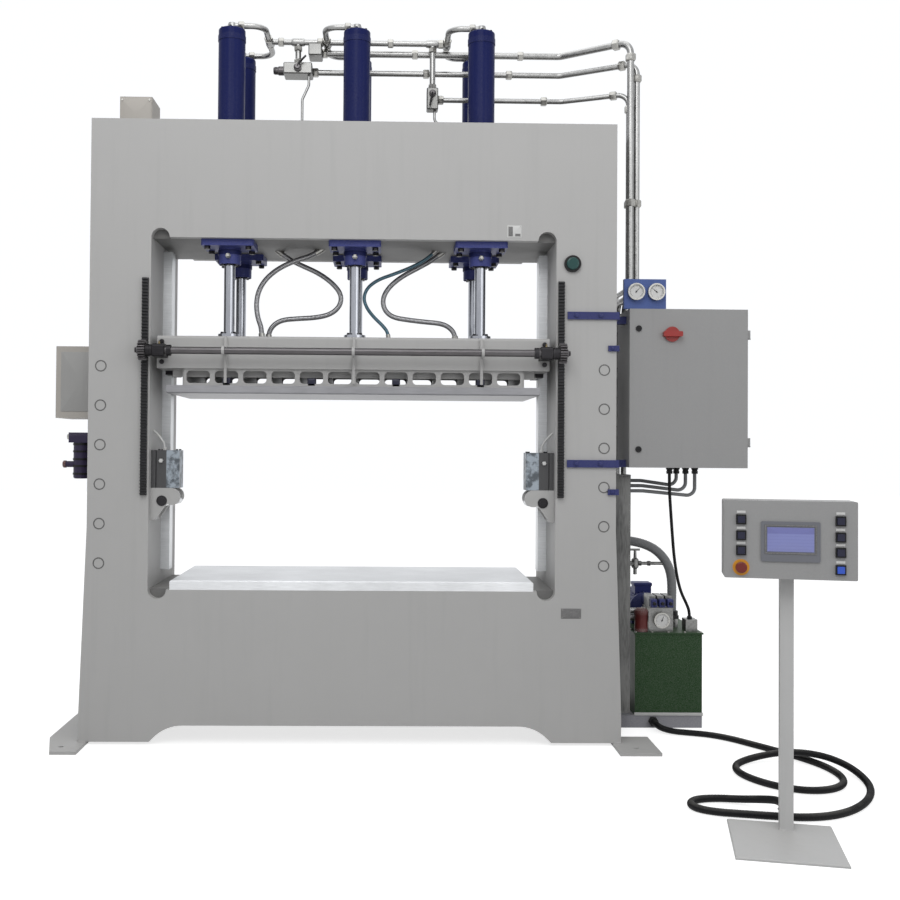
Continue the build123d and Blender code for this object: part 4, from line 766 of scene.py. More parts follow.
def dressFrame(facts):
    seams, ties, rivets = [], [], []
    for side in both:
        for way in both:
            column = [(side * x, way * facts["columnY"], z) for x, z in facts["columnSeam"]]
            leg = [(side * x, way * facts["legY"], z) for x, z in facts["legSeam"]]
            seams += [bead(column, facts["seam"]), bead(leg, facts["seam"])]
        for seam in facts["footSeams"]:
            seams.append(bead([(side * x, y, facts["footZ"]) for x, y in seam], facts["footBead"]))
        for z, way in product(facts["tieZs"], both):
            place = (side * facts["tieX"], way * facts["tieY"], z)
            ties.append(ringOf(place, (0, way, 0), *facts["tieRing"]))
    for x, y in cylinderSpots:
        seams.append(ringBead((x, y, facts["barrelZ"]), alongZ, *facts["barrelSeam"]))
    addPiece("frame_weld_seams", seams, "framePaint")
    # each ring's dark colour is painted shade of the gap between tie bar and hole
    addPiece("tie_end_rings", ties, "seamShade")
    for name, (xs, zs, look) in facts["plates"].items():
        addPiece(name, [spanBlock(xs, facts["plateY"], zs, facts["plateEdge"])], look)
        inset = facts["rivetInset"]
        corners = product(np.add(xs, inset), (facts["rivetY"],), np.add(zs, inset))
        rivets += each(pipeNut, corners, againstY, *facts["rivet"])
    marks = [spanBlock(xs, facts["markY"], zs, facts["markEdge"]) for xs, zs in facts["marks"]]
    addPiece("plate_marks", marks, "plateGrey")
    addPiece("plate_rivets", rivets, "brightZinc")
    arms = product(facts["armXs"], (facts["boltY"],), facts["armZs"])
    bolts = each(hexHead, arms, againstY, *facts["armBolt"])
    bolts += each(hexHead, [(*facts["sideBolt"], z) for z in facts["armZs"]], alongX, *facts["armBolt"])
    clamps = [(facts["clampX"], facts["boltY"], z) for z in facts["clampZs"]]
    bolts += each(hexHead, clamps, againstY, *facts["clampBolt"])
    addPiece("bracket_bolts", bolts, "bluePaint")


dressFrame(frameTrim)
print("frame dressed")


# Cylinders: head screws, glands' screws and wipers, nuts on the rods' feet
cylinderTrim = {
    "headZ": 3.568,
    "glandZ": 2.376,
    "footZ": 2.025,
    "sunk": 0.001,
    "headCircle": (0.052, 6, 0.5),  # radius, count and start angle
    "headScrew": (0.007, 0.008),
    "glandCircle": (0.045, 8),
    "glandScrew": (0.006, 0.006),
    "footCircle": (0.044, 4, math.pi / 4),
    "footNut": (0.014, 0.009),
    "headBand": (0.0665, 0.0700, -0.062, -0.034),
    "glandBand": (0.0540, 0.0590, 0.048, 0.07),
    "wiper": (0.0281, 0.0351, -0.005, 0.002),
    "portLift": 0.036,
    "ports": [(0.062, (0.014, 0.026)), (0.080, (0.009, 0.02, 20))],  # way out from the axis, and a nut
}


def dressCylinders(facts):
    screws, bands, wipers, nuts, ports = [], [], [], [], []
    head, gland, sunk = facts["headZ"], facts["glandZ"], facts["sunk"]
    for x, y in cylinderSpots:
        heads = circleOf((x, y, head - sunk), *facts["headCircle"])
        screws += each(socketHead, heads, alongZ, *facts["headScrew"])
        heads = circleOf((x, y, gland + sunk), *facts["glandCircle"])
        screws += each(socketHead, heads, againstZ, *facts["glandScrew"])
        bands.append(ringOf((x, y, head), alongZ, *facts["headBand"]))
        bands.append(ringOf((x, y, gland), alongZ, *facts["glandBand"]))
        wipers.append(ringOf((x, y, gland), alongZ, *facts["wiper"]))
        feet = circleOf((x, y, facts["footZ"]), *facts["footCircle"])
        nuts += each(hexHead, feet, alongZ, *facts["footNut"])
        out = math.copysign(1, y)
        for reach, nut in facts["ports"]:
            ports += pipeNut((x, y + out * reach, gland + facts["portLift"]), (0, out, 0), *nut)
    addPiece("cylinder_screws", screws, "darkSteel")
    addPiece("cylinder_bands", bands, "barrelBlue")
    addPiece("rod_wipers", wipers, "blackRubber")
    addPiece("rod_foot_nuts", nuts, "darkSteel", "ram")
    addPiece("gland_ports", ports, "brightZinc")


dressCylinders(cylinderTrim)
print("cylinders dressed")


# Oil pipes: union nuts, tees, valve caps and levers
pipeTrim = {
    "loopZ": 3.590,
    "loopSides": (1, -1, -1),  # the side to which each pair of cylinders is joined
    "loopNut": (0.023, 0.03),
    "nutOut": 0.047,
    "headZ": 3.573,
    "headNut": (0.026, 0.012),
    "elbow": [(0, -0.02), (0.021, -0.018), (0.023, 0.0), (0.019, 0.013), (0, 0.019)],
    "teeOut": 0.165,
    "tee": (0.021, 0.08, 24),
    "teeNut": (0.023, 0.026),
    "teeYs": (-0.045, 0.045),
    "lineXs": (-0.405, -0.20, -0.06, 0.17, 0.435),
    "dropTee": (0.021, 0.07, 24),
    "drops": [(-0.315, (3.555, 3.485)), (0.392, (3.555, 3.362))],  # x, and the heights of the nuts
    "headerNut": (0.024, 0.032),
    "headers": [  # x of the nuts, y and height
        ((-0.178, 0.30, 0.86), 0.045, 3.548),
        ((-0.226, 0.36, 0.80), 0.045, 3.445),
        ((0.435, 0.70, 0.98), 0.0, 3.293),
    ],
    "bends": [  # corner, direction of the header there, and the nut's radius
        ((1.40, -0.185, 3.548), (0.818, -0.575, 0), 0.028),
        ((1.438, -0.163, 3.445), (0.869, -0.495, 0), 0.025),
        ((1.40, -0.141, 3.293), (0.918, -0.396, 0), 0.023),
    ],
    "bendReach": 0.08,
    "bendLength": 0.036,
    "riserJoin": 2.72,
    "risers": [(1.40, 0.13, 0.025), (1.438, 0.13, 0.0215), (1.40, 0.175, 0.019)],  # x, y and radius
    "riserZs": (2.02, 1.10),
    "riserLength": 0.034,
    "inletX": 1.548,
    "inlets": [(0.13, 0.562, 0.025), (0.13, 0.598, 0.0215), (0.175, 0.562, 0.019)],  # y, z and radius
    "inletLength": 0.024,
    "longCap": [(0, 0), (0.024, 0), (0.024, 0.03), (0.020, 0.034), (0.020, 0.05), (0.017, 0.058), (0, 0.058)],
    "leverCap": [(0, 0), (0.020, 0), (0.020, 0.012), (0.012, 0.016), (0.012, 0.03), (0, 0.03)],
    "smallCap": [(0, 0), (0.018, 0), (0.018, 0.010), (0.010, 0.014), (0.010, 0.026), (0, 0.026)],
    "caps": [
        ((-0.388, 0.022, 3.445), againstX, "longCap", 28),
        ((-0.315, -0.034, 3.445), againstY, "leverCap", 24),
        ((0.392, -0.034, 3.318), againstY, "smallCap", 24),
    ],
    "levers": [
        [(-0.315, -0.058, 3.445), (-0.300, -0.060, 3.470), (-0.270, -0.062, 3.500)],
        [(0.392, -0.055, 3.318), (0.386, -0.058, 3.290), (0.378, -0.060, 3.250)],
    ],
    "leverRadii": (0.007, 0.006, 0.005),
}


def dressPipes(facts):
    nuts, fittings, z = [], [], facts["loopZ"]
    for x, side in zip(cylinderXs, facts["loopSides"]):
        for y in cylinderYs:
            nuts += pipeNut((x + side * facts["nutOut"], y, z), alongX, *facts["loopNut"])
            nuts += pipeNut((x, y, facts["headZ"]), alongZ, *facts["headNut"])
            fittings.append(lathe((x, y, z), alongZ, facts["elbow"], sides=24))
        tee = x + side * facts["teeOut"]
        fittings += pipeNut((tee, 0, z), alongY, *facts["tee"])
        nuts += each(pipeNut, [(tee, y, z) for y in facts["teeYs"]], alongY, *facts["teeNut"])
    nuts += each(pipeNut, [(x, 0, z) for x in facts["lineXs"]], alongX, *facts["loopNut"])
    for x, heights in facts["drops"]:
        fittings += pipeNut((x, 0, z), alongX, *facts["dropTee"])
        nuts += each(pipeNut, [(x, 0, height) for height in heights], alongZ, *facts["teeNut"])
    for xs, y, height in facts["headers"]:
        nuts += each(pipeNut, [(x, y, height) for x in xs], alongX, *facts["headerNut"])
    for corner, way, radius in facts["bends"]:
        x, y, height = corner
        before = np.array(corner) - facts["bendReach"] * np.array(way)
        below = [(x, y, height - facts["bendReach"]), (x, y, facts["riserJoin"])]
        nuts += pipeNut(before, way, radius, facts["bendLength"])
        nuts += each(pipeNut, below, alongZ, radius, facts["bendLength"])
    for x, y, radius in facts["risers"]:
        joins = [(x, y, height) for height in facts["riserZs"]]
        nuts += each(pipeNut, joins, alongZ, radius, facts["riserLength"])
    for y, height, radius in facts["inlets"]:
        nuts += pipeNut((facts["inletX"], y, height), alongX, radius, facts["inletLength"])
    caps = [lathe(place, axis, facts[profile], sides) for place, axis, profile, sides in facts["caps"]]
    levers = [tube(path, facts["leverRadii"], sides=10) for path in facts["levers"]]
    addPiece("pipe_nuts", nuts, "brightZinc")
    addPiece("pipe_fittings", fittings, "pipeSteel")
    addPiece("valve_caps", caps, "shaftSteel")
    addPiece("valve_levers", levers, "darkSteel")


dressPipes(pipeTrim)
print("pipes dressed")


# Ram: rib windows, shaft straps and collars, grease nipples, clamp blocks on the platen, hose ends
ramTrim = {
    "shaftY": -0.417,
    "shaftZ": 1.926,
    "collars": [(0.0165, 0.028, 0.974, 0.990), (0.0165, 0.027, 0.885, 0.905), (0.0165, 0.030, 0.990, 1.008)],
    "endX": 1.049,
    "endBolt": (0.024, 0.010),
    "nippleX": 0.9425,
    "nippleLift": 0.030,
    "nipple": [(0, 0), (0.006, 0), (0.006, 0.006), (0.0035, 0.008), (0.0045, 0.014), (0, 0.016)],
    "screwX": 0.945,
    "screwY": -0.3395,
    "screwRise": (-0.05, 0.05),
    "bearingScrew": (0.017, 0.008),
    "clampXs": (-0.63, -0.21, 0.21, 0.63),
    "clamp": (0.020, (-0.312, -0.235), (1.762, 1.802), 0.003),  # half width, y, z, edge and axis
    "clampFoot": (0.034, (-0.305, -0.245), (1.762, 1.774), 0.002, 2),
    "bays": 12,
    "bayPitch": 0.13997,
    "windowYs": (-0.304, 0.312),
    "windowZ": (1.762, 1.847),
    "windowRim": (0.012, 0.008),  # width and depth
    "belly": (0.904, (-0.303, 0.303), (1.846, 1.850), 0.001, 2),
    "web": (0.904, (-0.265, -0.259), (1.806, 1.847), 0.001, 2),
    "strap": (0.007, (-0.347, -0.335), (1.774, 2.004), 0.002, 2),
    "eye": (0.0195, 0.0235, -0.007, 0.007),
    "eyeArm": (0.007, (-0.396, -0.338), (1.914, 1.938), 0.002, 2),
    "ferruleZ": (2.052, 2.472),  # below the first and above the second a hose is sleeved
    "ferruleShare": 1.28,  # of the hose's radius
    "nutShare": 1.75,
    "nutZ": 2.016,
    "nutLength": 0.018,
}


# A plate with one round-cornered window: an outer and an inner loop, each at the back and at the front
def windowFrame(x, y, zs, wide, rim, depth, corner=6):
    middle, halfX, halfZ, bend = sum(zs) / 2, wide / 2, (zs[1] - zs[0]) / 2, rim * 1.6
    angle = np.concatenate([np.linspace(0, np.pi / 2, corner) + k * np.pi / 2 for k in range(4)])
    signX, signZ = np.repeat([1, -1, -1, 1], corner), np.repeat([1, 1, -1, -1], corner)
    outer = np.stack([x + signX * halfX, middle + signZ * halfZ], -1)
    innerX = x + signX * (halfX - rim - bend) + bend * np.cos(angle)
    innerZ = middle + signZ * (halfZ - rim - bend) + bend * np.sin(angle)
    inner = np.stack([innerX, innerZ], -1)
    loops = [(outer, y), (outer, y - depth), (inner, y - depth), (inner, y), (outer, y)]
    return np.stack([np.insert(loop, 1, place, axis=1) for loop, place in loops]), False, True


def dressRam(facts):
    collars, nipples, screws, clamps, windows, straps = [], [], [], [], [], []
    y, z = facts["shaftY"], facts["shaftZ"]
    for side in both:
        collars += [ringOf((0, y, z), (side, 0, 0), *collar) for collar in facts["collars"]]
        collars += hexHead((side * facts["endX"], y, z), (side, 0, 0), *facts["endBolt"])
        top = (side * facts["nippleX"], y, z + facts["nippleLift"])
        nipples.append(lathe(top, alongZ, facts["nipple"], sides=12))
        heads = product((side * facts["screwX"],), (facts["screwY"],), shifted(z, facts["screwRise"]))
        screws += each(hexHead, heads, againstY, *facts["bearingScrew"])
    for x in facts["clampXs"]:
        clamps += [slab(x, *facts["clamp"]), slab(x, *facts["clampFoot"])]
    pitch, last = facts["bayPitch"], facts["bays"] - 1
    bayXs = (np.arange(facts["bays"]) - last / 2) * pitch
    for x, face in product(bayXs, facts["windowYs"]):
        windows.append(windowFrame(x, face, facts["windowZ"], pitch, *facts["windowRim"]))
    for x in cylinderXs:  # a strip down the beam's face with an eye that holds the shaft
        eye = ringOf((x, y, z), alongX, *facts["eye"])
        straps += [slab(x, *facts["strap"]), eye, slab(x, *facts["eyeArm"])]
    addPiece("rib_windows", windows, "framePaint", "ram")
    # the belly plate closes the cavity over the rib windows; its paint, paler than the frame's, is painted
    # light in that shaded cavity
    addPiece("ram_belly", [slab(0, *facts["belly"])], "palePaint", "ram")
    addPiece("rib_web", [slab(0, *facts["web"])], "framePaint", "ram")
    addPiece("shaft_straps", straps, "framePaint", "ram")
    addPiece("shaft_collars", collars, "darkSteel", "shaft")
    addPiece("grease_nipples", nipples, "dullBrass", "ram")
    addPiece("bearing_screws", screws, "darkSteel", "ram")
    addPiece("platen_clamps", clamps, "keyPlastic", "ram")


def dressHoses(facts):
    tops, feet = [], []
    low, high = facts["ferruleZ"]
    for name in hoseNames:
        radius = cordFacts[name]["radius"]
        line = splinePoints(name, cordRoutes[name])
        tops.append(tube(line[line[:, 2] > high], radius * facts["ferruleShare"], sides=20))
        feet.append(tube(line[line[:, 2] < low], radius * facts["ferruleShare"], sides=20))
        end = (*line[-1][:2], facts["nutZ"])
        feet += pipeNut(end, alongZ, radius * facts["nutShare"], facts["nutLength"])
    addPiece("hose_ferrules_top", tops, "brightZinc")
    addPiece("hose_ferrules_foot", feet, "brightZinc", "ram")


dressRam(ramTrim)
dressHoses(ramTrim)
print("ram dressed")


# Latches and lamp: cylinder screws, air fittings, pin caps and a dark bezel
latchTrim = {
    "screwXs": (0.875, 0.963),
    "screwYs": (-0.281, -0.199),
    "screwZ": 1.439,
    "screw": (0.006, 0.007),
    "frontUnion": [(0.950, -0.303, 1.388)],
    "frontNut": (0.011, 0.020),
    "topUnion": [(0.945, -0.24, 1.447)],
    "topNut": (0.010, 0.016),
    "airLine": [
        (0.945, -0.24, 1.45), (0.948, -0.24, 1.475), (0.965, -0.24, 1.502),
        (0.985, -0.24, 1.525), (1.001, -0.24, 1.540),
    ],
    "airRadius": 0.005,
    "pivot": [(0.945, -0.30, 1.19)],
    "pinCap": [(0, 0), (0.026, 0), (0.026, 0.003), (0.015, 0.004), (0.015, 0.007), (0, 0.007)],
    "lamp": (1.079, 0, 2.377),
    "bezel": (0.0315, 0.0415, 0.351, 0.3645),
}


def dressLatches(facts):
    screws, fittings = [], []
    for side, body in zip(both, ("pawl_left", "pawl_right")):
        heads = mirrored(side, product(facts["screwXs"], facts["screwYs"], (facts["screwZ"],)))
        screws += each(socketHead, heads, alongZ, *facts["screw"])
        fittings += each(pipeNut, mirrored(side, facts["frontUnion"]), againstY, *facts["frontNut"])
        fittings += each(pipeNut, mirrored(side, facts["topUnion"]), alongZ, *facts["topNut"])
        fittings.append(tube(mirrored(side, facts["airLine"]), facts["airRadius"], sides=12))
        caps = [lathe(place, againstY, facts["pinCap"], sides=28) for place in mirrored(side, facts["pivot"])]
        addPiece(f"pin_cap_{body}", caps, "darkSteel", body)
    addPiece("latch_screws", screws, "darkSteel")
    addPiece("latch_fittings", fittings, "whitePlastic", slot="ground_steel")
    addPiece("lamp_bezel", [ringOf(facts["lamp"], againstY, *facts["bezel"])], "blackPlastic")


dressLatches(latchTrim)
print("latches dressed")


# Cabinet: gauges, gland nuts, door seal, the gear seen when the door is open, and the trunk's lid
cabinetTrim = {
    "gauges": [((1.41424, -0.2732, 2.254), 0.7), ((1.516, -0.2732, 2.254), -0.9)],  # centre and needle angle
    "gaugeSize": 0.0355,
    "gaugeRim": (0.0428, -0.018, 0.0098),  # outer radius, back and front from the face
    "glands": [(1.6202, -0.13), (1.667, -0.085), (1.715, -0.085), (1.763, -0.085)],
    "glandNuts": [(1.364, (0.0185, 0.011)), (1.345, (0.0165, 0.016))],  # height and nut
    "seal": [(1.402, 1.387), (1.966, 1.387), (1.966, 2.153), (1.402, 2.153), (1.402, 1.387)],
    "sealY": -0.2455,
    "sealRadius": 0.0045,
    "plate": ((1.42, 1.95), (0.028, 0.032), (1.41, 2.13), 0.001),
    "railX": (1.47, 1.90),
    "railY": (0.016, 0.028),
    "railRise": (-0.017, 0.017),
    "railZs": (1.50, 1.72, 1.94),
    "ductX": (1.43, 1.94),
    "ductY": (-0.032, 0.028),
    "ductRise": (0, 0.045),
    "ductZs": (1.425, 1.61, 1.83, 2.06),
    "slitXs": np.arange(1.44, 1.935, 0.02),
    "slitWide": (0, 0.011),
    "slitY": (-0.0335, -0.030),
    "slitRise": (0.006, 0.039),
    "slitEdge": 0.0008,
    "edge": 0.002,
    "paleGear": [(1.48, 0.018, 12), (1.48, 0.045, 4), (1.48, 0.072, 2)],  # start, pitch, count by rail
    "darkGear": [(1.72, 0.045, 4), (1.68, 0.036, 6), (1.64, 0.018, 14)],
    "gearShares": np.array((0, 0.95)),  # of the pitch
    "gearY": (-0.047, 0.020),
    "gearRise": (-0.042, 0.042),
    "noseShares": np.array((0.12, 0.83)),
    "noseY": (-0.057, -0.042),
    "noseRise": (-0.014, 0.018),
    "trunkLid": ((1.344, 1.430), (-0.0818, -0.0795), (0.11, 1.32), 0.001, 0),
}


def gearRows(rows, facts):  # switch gear side by side on each rail, a body with a nose in front of it
    gear, edge = [], facts["edge"]
    for z, (start, pitch, count) in zip(facts["railZs"], rows):
        for x in start + np.arange(count) * pitch:
            for part in ("gear", "nose"):
                xs, zs = x + pitch * facts[part + "Shares"], shifted(z, facts[part + "Rise"])
                gear.append(spanBlock(xs, facts[part + "Y"], zs, edge))
    return gear


def dressCabinet(facts):
    names = ("gauge_faces", "gauge_marks", "gauge_rims")
    addGauges(names, facts["gauges"], facts["gaugeSize"], facts["gaugeRim"])
    nuts = []
    for (x, y), (z, nut) in product(facts["glands"], facts["glandNuts"]):
        nuts += pipeNut((x, y, z), alongZ, *nut)
    addPiece("gland_nuts", nuts, "blackPlastic")
    seal = bead([(x, facts["sealY"], z) for x, z in facts["seal"]], facts["sealRadius"])
    addPiece("door_seal", [seal], "blackRubber", "door")
    plate, ducts, edge = [spanBlock(*facts["plate"])], [], facts["edge"]
    for z in facts["railZs"]:
        plate.append(spanBlock(facts["railX"], facts["railY"], shifted(z, facts["railRise"]), edge, 0))
    for z in facts["ductZs"]:
        ducts.append(spanBlock(facts["ductX"], facts["ductY"], shifted(z, facts["ductRise"]), edge, 0))
        for x in facts["slitXs"]:
            xs, zs = shifted(x, facts["slitWide"]), shifted(z, facts["slitRise"])
            ducts.append(spanBlock(xs, facts["slitY"], zs, facts["slitEdge"]))
    addPiece("mounting_plate", plate, "trunkZinc")
    addPiece("wire_ducts", ducts, "conduitGrey")
    addPiece("switch_gear_pale", gearRows(facts["paleGear"], facts), "whitePlastic")
    addPiece("switch_gear_dark", gearRows(facts["darkGear"], facts), "blackPlastic")
    addPiece("trunk_lid", [spanBlock(*facts["trunkLid"])], "trunkZinc")


dressCabinet(cabinetTrim)
print("cabinet dressed")


# Oil unit: lid screws, solenoids, gauge, filter, breather, motor, stop valve and cable nuts
unitTrim = {
    "lid": 0.498,
    "strip": ((1.476, 1.838), (0.014, 0.024), (0.064, 0.080), 0.002, 0),
    "lidXs": (1.484, 1.830),
    "lidYs": (0.026, 0.614),
    "sideYs": (0.12, 0.52),
    "lidScrew": (0.010, 0.006),
    "valveXs": (1.5817, 1.625, 1.6683),
    "coils": [(againstY, (0.025, 0.070), 0.018), (alongY, (0.190, 0.235), 0.242)],  # way out, y, end
    "coilHalf": 0.016,
    "coilZ": (0.628, 0.672),
    "coilEdge": 0.004,
    "coilEnd": (0.009, 0.018, 18),
    "coilEndZ": 0.650,
    "gauges": [((1.625, 0.0338, 0.5605), 0.4)],
    "gaugeSize": 0.034,
    "gaugeRim": (0.0415, -0.0257, 0.0048),
    "filterSpot": (1.52, 0.06),
    "filter": [
        (0, 0.002), (0.036, 0.002), (0.036, 0.02), (0.0345, 0.024), (0.0345, 0.086),
        (0.037, 0.09), (0.037, 0.112), (0.026, 0.123), (0, 0.125),
    ],
    "breatherSpot": (1.775, 0.50),
    "breather": [
        (0, 0), (0.03, 0), (0.03, 0.012), (0.018, 0.014), (0.018, 0.03),
        (0.036, 0.034), (0.036, 0.062), (0.030, 0.068), (0, 0.07),
    ],
    "motor": (1.59, 0.59),
    "fins": {"ys": (0.292, 0.530), "radius": 0.0775, "depth": 0.009, "count": 28},
    "bellY": 0.262,
    "bell": [(0, 0), (0.060, 0), (0.086, 0.008), (0.086, 0.028), (0, 0.028)],
    "motorLid": ((1.540, 1.640), (0.316, 0.414), (0.706, 0.724), 0.004, 2),
    "grillY": 0.5905,
    "grillSizes": (0.02, 0.035, 0.05, 0.065),
    "grillWire": 0.0022,
    "stopValve": (1.525, 0.232, 0.841),
    "valvePipe": [(1.438, 0.13), (1.47, 0.17), (1.525, 0.232), (1.60, 0.232), (1.694, 0.232)],  # x and y
    "valvePipeRadius": 0.009,
    "valveBody": [
        (0, -0.062), (0.010, -0.060), (0.010, -0.030), (0.019, -0.022), (0.021, 0.0),
        (0.019, 0.022), (0.009, 0.030), (0.007, 0.074), (0, 0.074),
    ],
    "handle": [(-0.026, 0, 0.074), (0, 0, 0.074), (0.026, 0, 0.074)],
    "handleRadius": 0.006,
    "valveNutXs": (1.499, 1.551, 1.60),
    "valveNut": (0.015, 0.018),
    "conduitFoot": (1.726, 0.232, 0.552),
    "conduitRing": (0.0245, 0.034, 0.008, 0.032),
    "cableNuts": [  # place, axis, radius and length
        ((1.726, 0.232, 0.552), alongZ, 0.040, 0.024),
        ((1.790, 0.106, 0.566), alongZ, 0.014, 0.014),
        ((1.575, 0.008, 0.036), alongY, 0.026, 0.022),
        ((1.309, 0.230, 0.9652), (1, 0, 0.033), 0.040, 0.016),
    ],
}


def finnedBarrel(x, z, ys, radius, depth, count):  # the radius rises in narrow waves round the axis
    angle = np.linspace(0, 2 * np.pi, count * 8, endpoint=False)
    wave = np.clip(np.cos(count * angle) * 2.2, -0.2, 1.0)
    ring = radius + depth * (wave + 0.2) / 1.2
    size = np.array((0.0, 1.0, 1.0, 0.0))[:, None] * ring
    depths = np.broadcast_to(np.repeat(ys, 2)[:, None], size.shape)
    return np.stack([x + size * np.sin(angle), depths, z + size * np.cos(angle)], -1), False, True


def dressTank(facts):
    lid = facts["lid"]
    addPiece("tank_strip", [spanBlock(*facts["strip"])], "palePaint")
    heads = [(x, y, lid) for x in np.linspace(*facts["lidXs"], 5) for y in facts["lidYs"]]
    heads += [(x, y, lid) for y in np.linspace(*facts["sideYs"], 4) for x in facts["lidXs"]]
    addPiece("tank_screws", each(hexHead, heads, alongZ, *facts["lidScrew"]), "brightZinc")
    coils, ends = [], []
    for x, (out, ys, endY) in product(facts["valveXs"], facts["coils"]):
        coils.append(slab(x, facts["coilHalf"], ys, facts["coilZ"], facts["coilEdge"]))
        ends += pipeNut((x, endY, facts["coilEndZ"]), out, *facts["coilEnd"])
    addPiece("valve_coils", coils, "bluePaint")
    addPiece("coil_ends", ends, "blackPlastic")
    names = ("unit_gauge_face", "unit_gauge_marks", "unit_gauge_rim")
    addGauges(names, facts["gauges"], facts["gaugeSize"], facts["gaugeRim"])
    canister = lathe((*facts["filterSpot"], lid), alongZ, facts["filter"], sides=36)
    addPiece("filter_canister", [canister], "redPaint")
    breather = lathe((*facts["breatherSpot"], lid), alongZ, facts["breather"], sides=32)
    addPiece("tank_breather", [breather], "blackPlastic")


def dressMotor(facts):
    x, z = facts["motor"]
    bell = lathe((x, facts["bellY"], z), alongY, facts["bell"], sides=40)
    barrel = finnedBarrel(x, z, **facts["fins"])
    addPiece("motor_fins", [barrel, bell, spanBlock(*facts["motorLid"])], "bluePaint")
    hub = (x, facts["grillY"], z)
    grill = [ringBead(hub, alongY, size, facts["grillWire"], 40) for size in facts["grillSizes"]]
    addPiece("fan_grill", grill, "blackPlastic")


def dressStopValve(facts):
    x, y, z = facts["stopValve"]
    pipe = tube([(*spot, z) for spot in facts["valvePipe"]], facts["valvePipeRadius"], sides=14)
    stem = lathe((x, y, z), alongZ, facts["valveBody"], sides=24)
    handle = tube(np.add(facts["stopValve"], facts["handle"]), facts["handleRadius"], sides=12)
    nuts = each(pipeNut, [(place, y, z) for place in facts["valveNutXs"]], alongX, *facts["valveNut"])
    addPiece("stop_valve", [pipe, stem, handle, *nuts], "valveSteel")
    rings = [ringOf(facts["conduitFoot"], alongZ, *facts["conduitRing"])]
    for nut in facts["cableNuts"]:
        rings += pipeNut(*nut)
    addPiece("cable_nuts", rings, "blackPlastic")


dressTank(unitTrim)
dressMotor(unitTrim)
dressStopValve(unitTrim)
print("oil unit dressed")


# Boxes and the air unit at the left
airTrim = {
    "bowl": (-1.41, -0.05),
    "guardZs": (1.31, 1.35, 1.385, 1.425, 1.462),
    "guard": (0.0395, 0.043, 0, 0.010),
    "knobSpot": (-1.488, -0.05, 1.364),
    "knob": [(0, 0), (0.019, 0), (0.019, 0.012), (0.015, 0.016), (0, 0.016)],
    "unionSpot": (-1.468, -0.05, 1.505),
    "union": (0.016, 0.03),
    "sidePanel": ((-1.506, -1.303), (-0.1030, -0.0990), (1.634, 1.940), 0.002),
    "topLid": ((-1.205, -1.051), (-0.1535, -0.1490), (3.067, 3.238), 0.002),
    "lidScrews": list(product((-1.197, -1.059), (-0.1535,), (3.077, 3.228))),
    "lidScrew": (0.005, 0.004),
}


def dressAir(facts):
    guards = [ringOf((*facts["bowl"], z), alongZ, *facts["guard"]) for z in facts["guardZs"]]
    addPiece("bowl_guards", guards, "blackPlastic")
    addPiece("air_knob", [lathe(facts["knobSpot"], againstX, facts["knob"], sides=18)], "redPaint")
    addPiece("air_union", pipeNut(facts["unionSpot"], againstX, *facts["union"]), "brightZinc")
    addPiece("side_box_panel", [spanBlock(*facts["sidePanel"])], "boxGrey")
    addPiece("top_box_lid", [spanBlock(*facts["topLid"])], "creamPaint")
    addPiece("box_screws", each(socketHead, facts["lidScrews"], againstY, *facts["lidScrew"]), "brightZinc")


dressAir(airTrim)
print("left side dressed")


# Control stand: pieces are made square to the panel, then turned with the stand
standTrim = {
    "place": (1.659, -1.703, 0),
    "turn": math.radians(-13),
    "middle": 0.019,
    "keyX": 0.1778,
    "keyZs": (1.1992, 1.1392, 1.0826, 1.0184),
    "stop": (-1, 1.0184),  # the side and height at which the emergency stop takes a key's place
    "disc": (0.013, 0.031, -0.0192, -0.0181),
    "bezel": (0.0138 * math.sqrt(2), 0.0185 * math.sqrt(2), -0.0192, -0.0105, 4, math.pi / 4),
    "stripHalf": 0.016,
    "stripY": (0.0175, 0.0192),
    "stripRise": (0.0225, 0.0325),
    "stripEdge": 0.0006,
    "pane": (0.084, (0.0116, 0.0132), (1.081, 1.172), 0.0006),
    "lips": [((-0.09, 0.09), (1.176, 1.181)), ((-0.09, 0.09), (1.072, 1.077)),
             ((-0.093, -0.088), (1.072, 1.181)), ((0.088, 0.093), (1.072, 1.181))],
    "lipY": (0.0105, 0.0132),
    "lipEdge": 0.001,
    "screwX": (-0.222, 0.222),
    "screwY": 0.169,
    "screwZs": (0.994, 1.255),
    "screw": (0.005, 0.003),
    "backLid": (0.23, (0.1685, 0.1712), (0.986, 1.263), 0.001),
    "postY": 0.144,
    "postZ": 0.011,
    "postHalf": 0.0255,
    "postBead": 0.0035,
    "cableSpot": (0.176, 0.072),
    "cableNut": (0.027, 0.014),
}


def onStand(grids, facts):
    c, s = math.cos(facts["turn"]), math.sin(facts["turn"])
    turned = np.array(((c, s, 0), (-s, c, 0), (0, 0, 1)))
    return [(grid @ turned + facts["place"], rows, columns) for grid, rows, columns in grids]


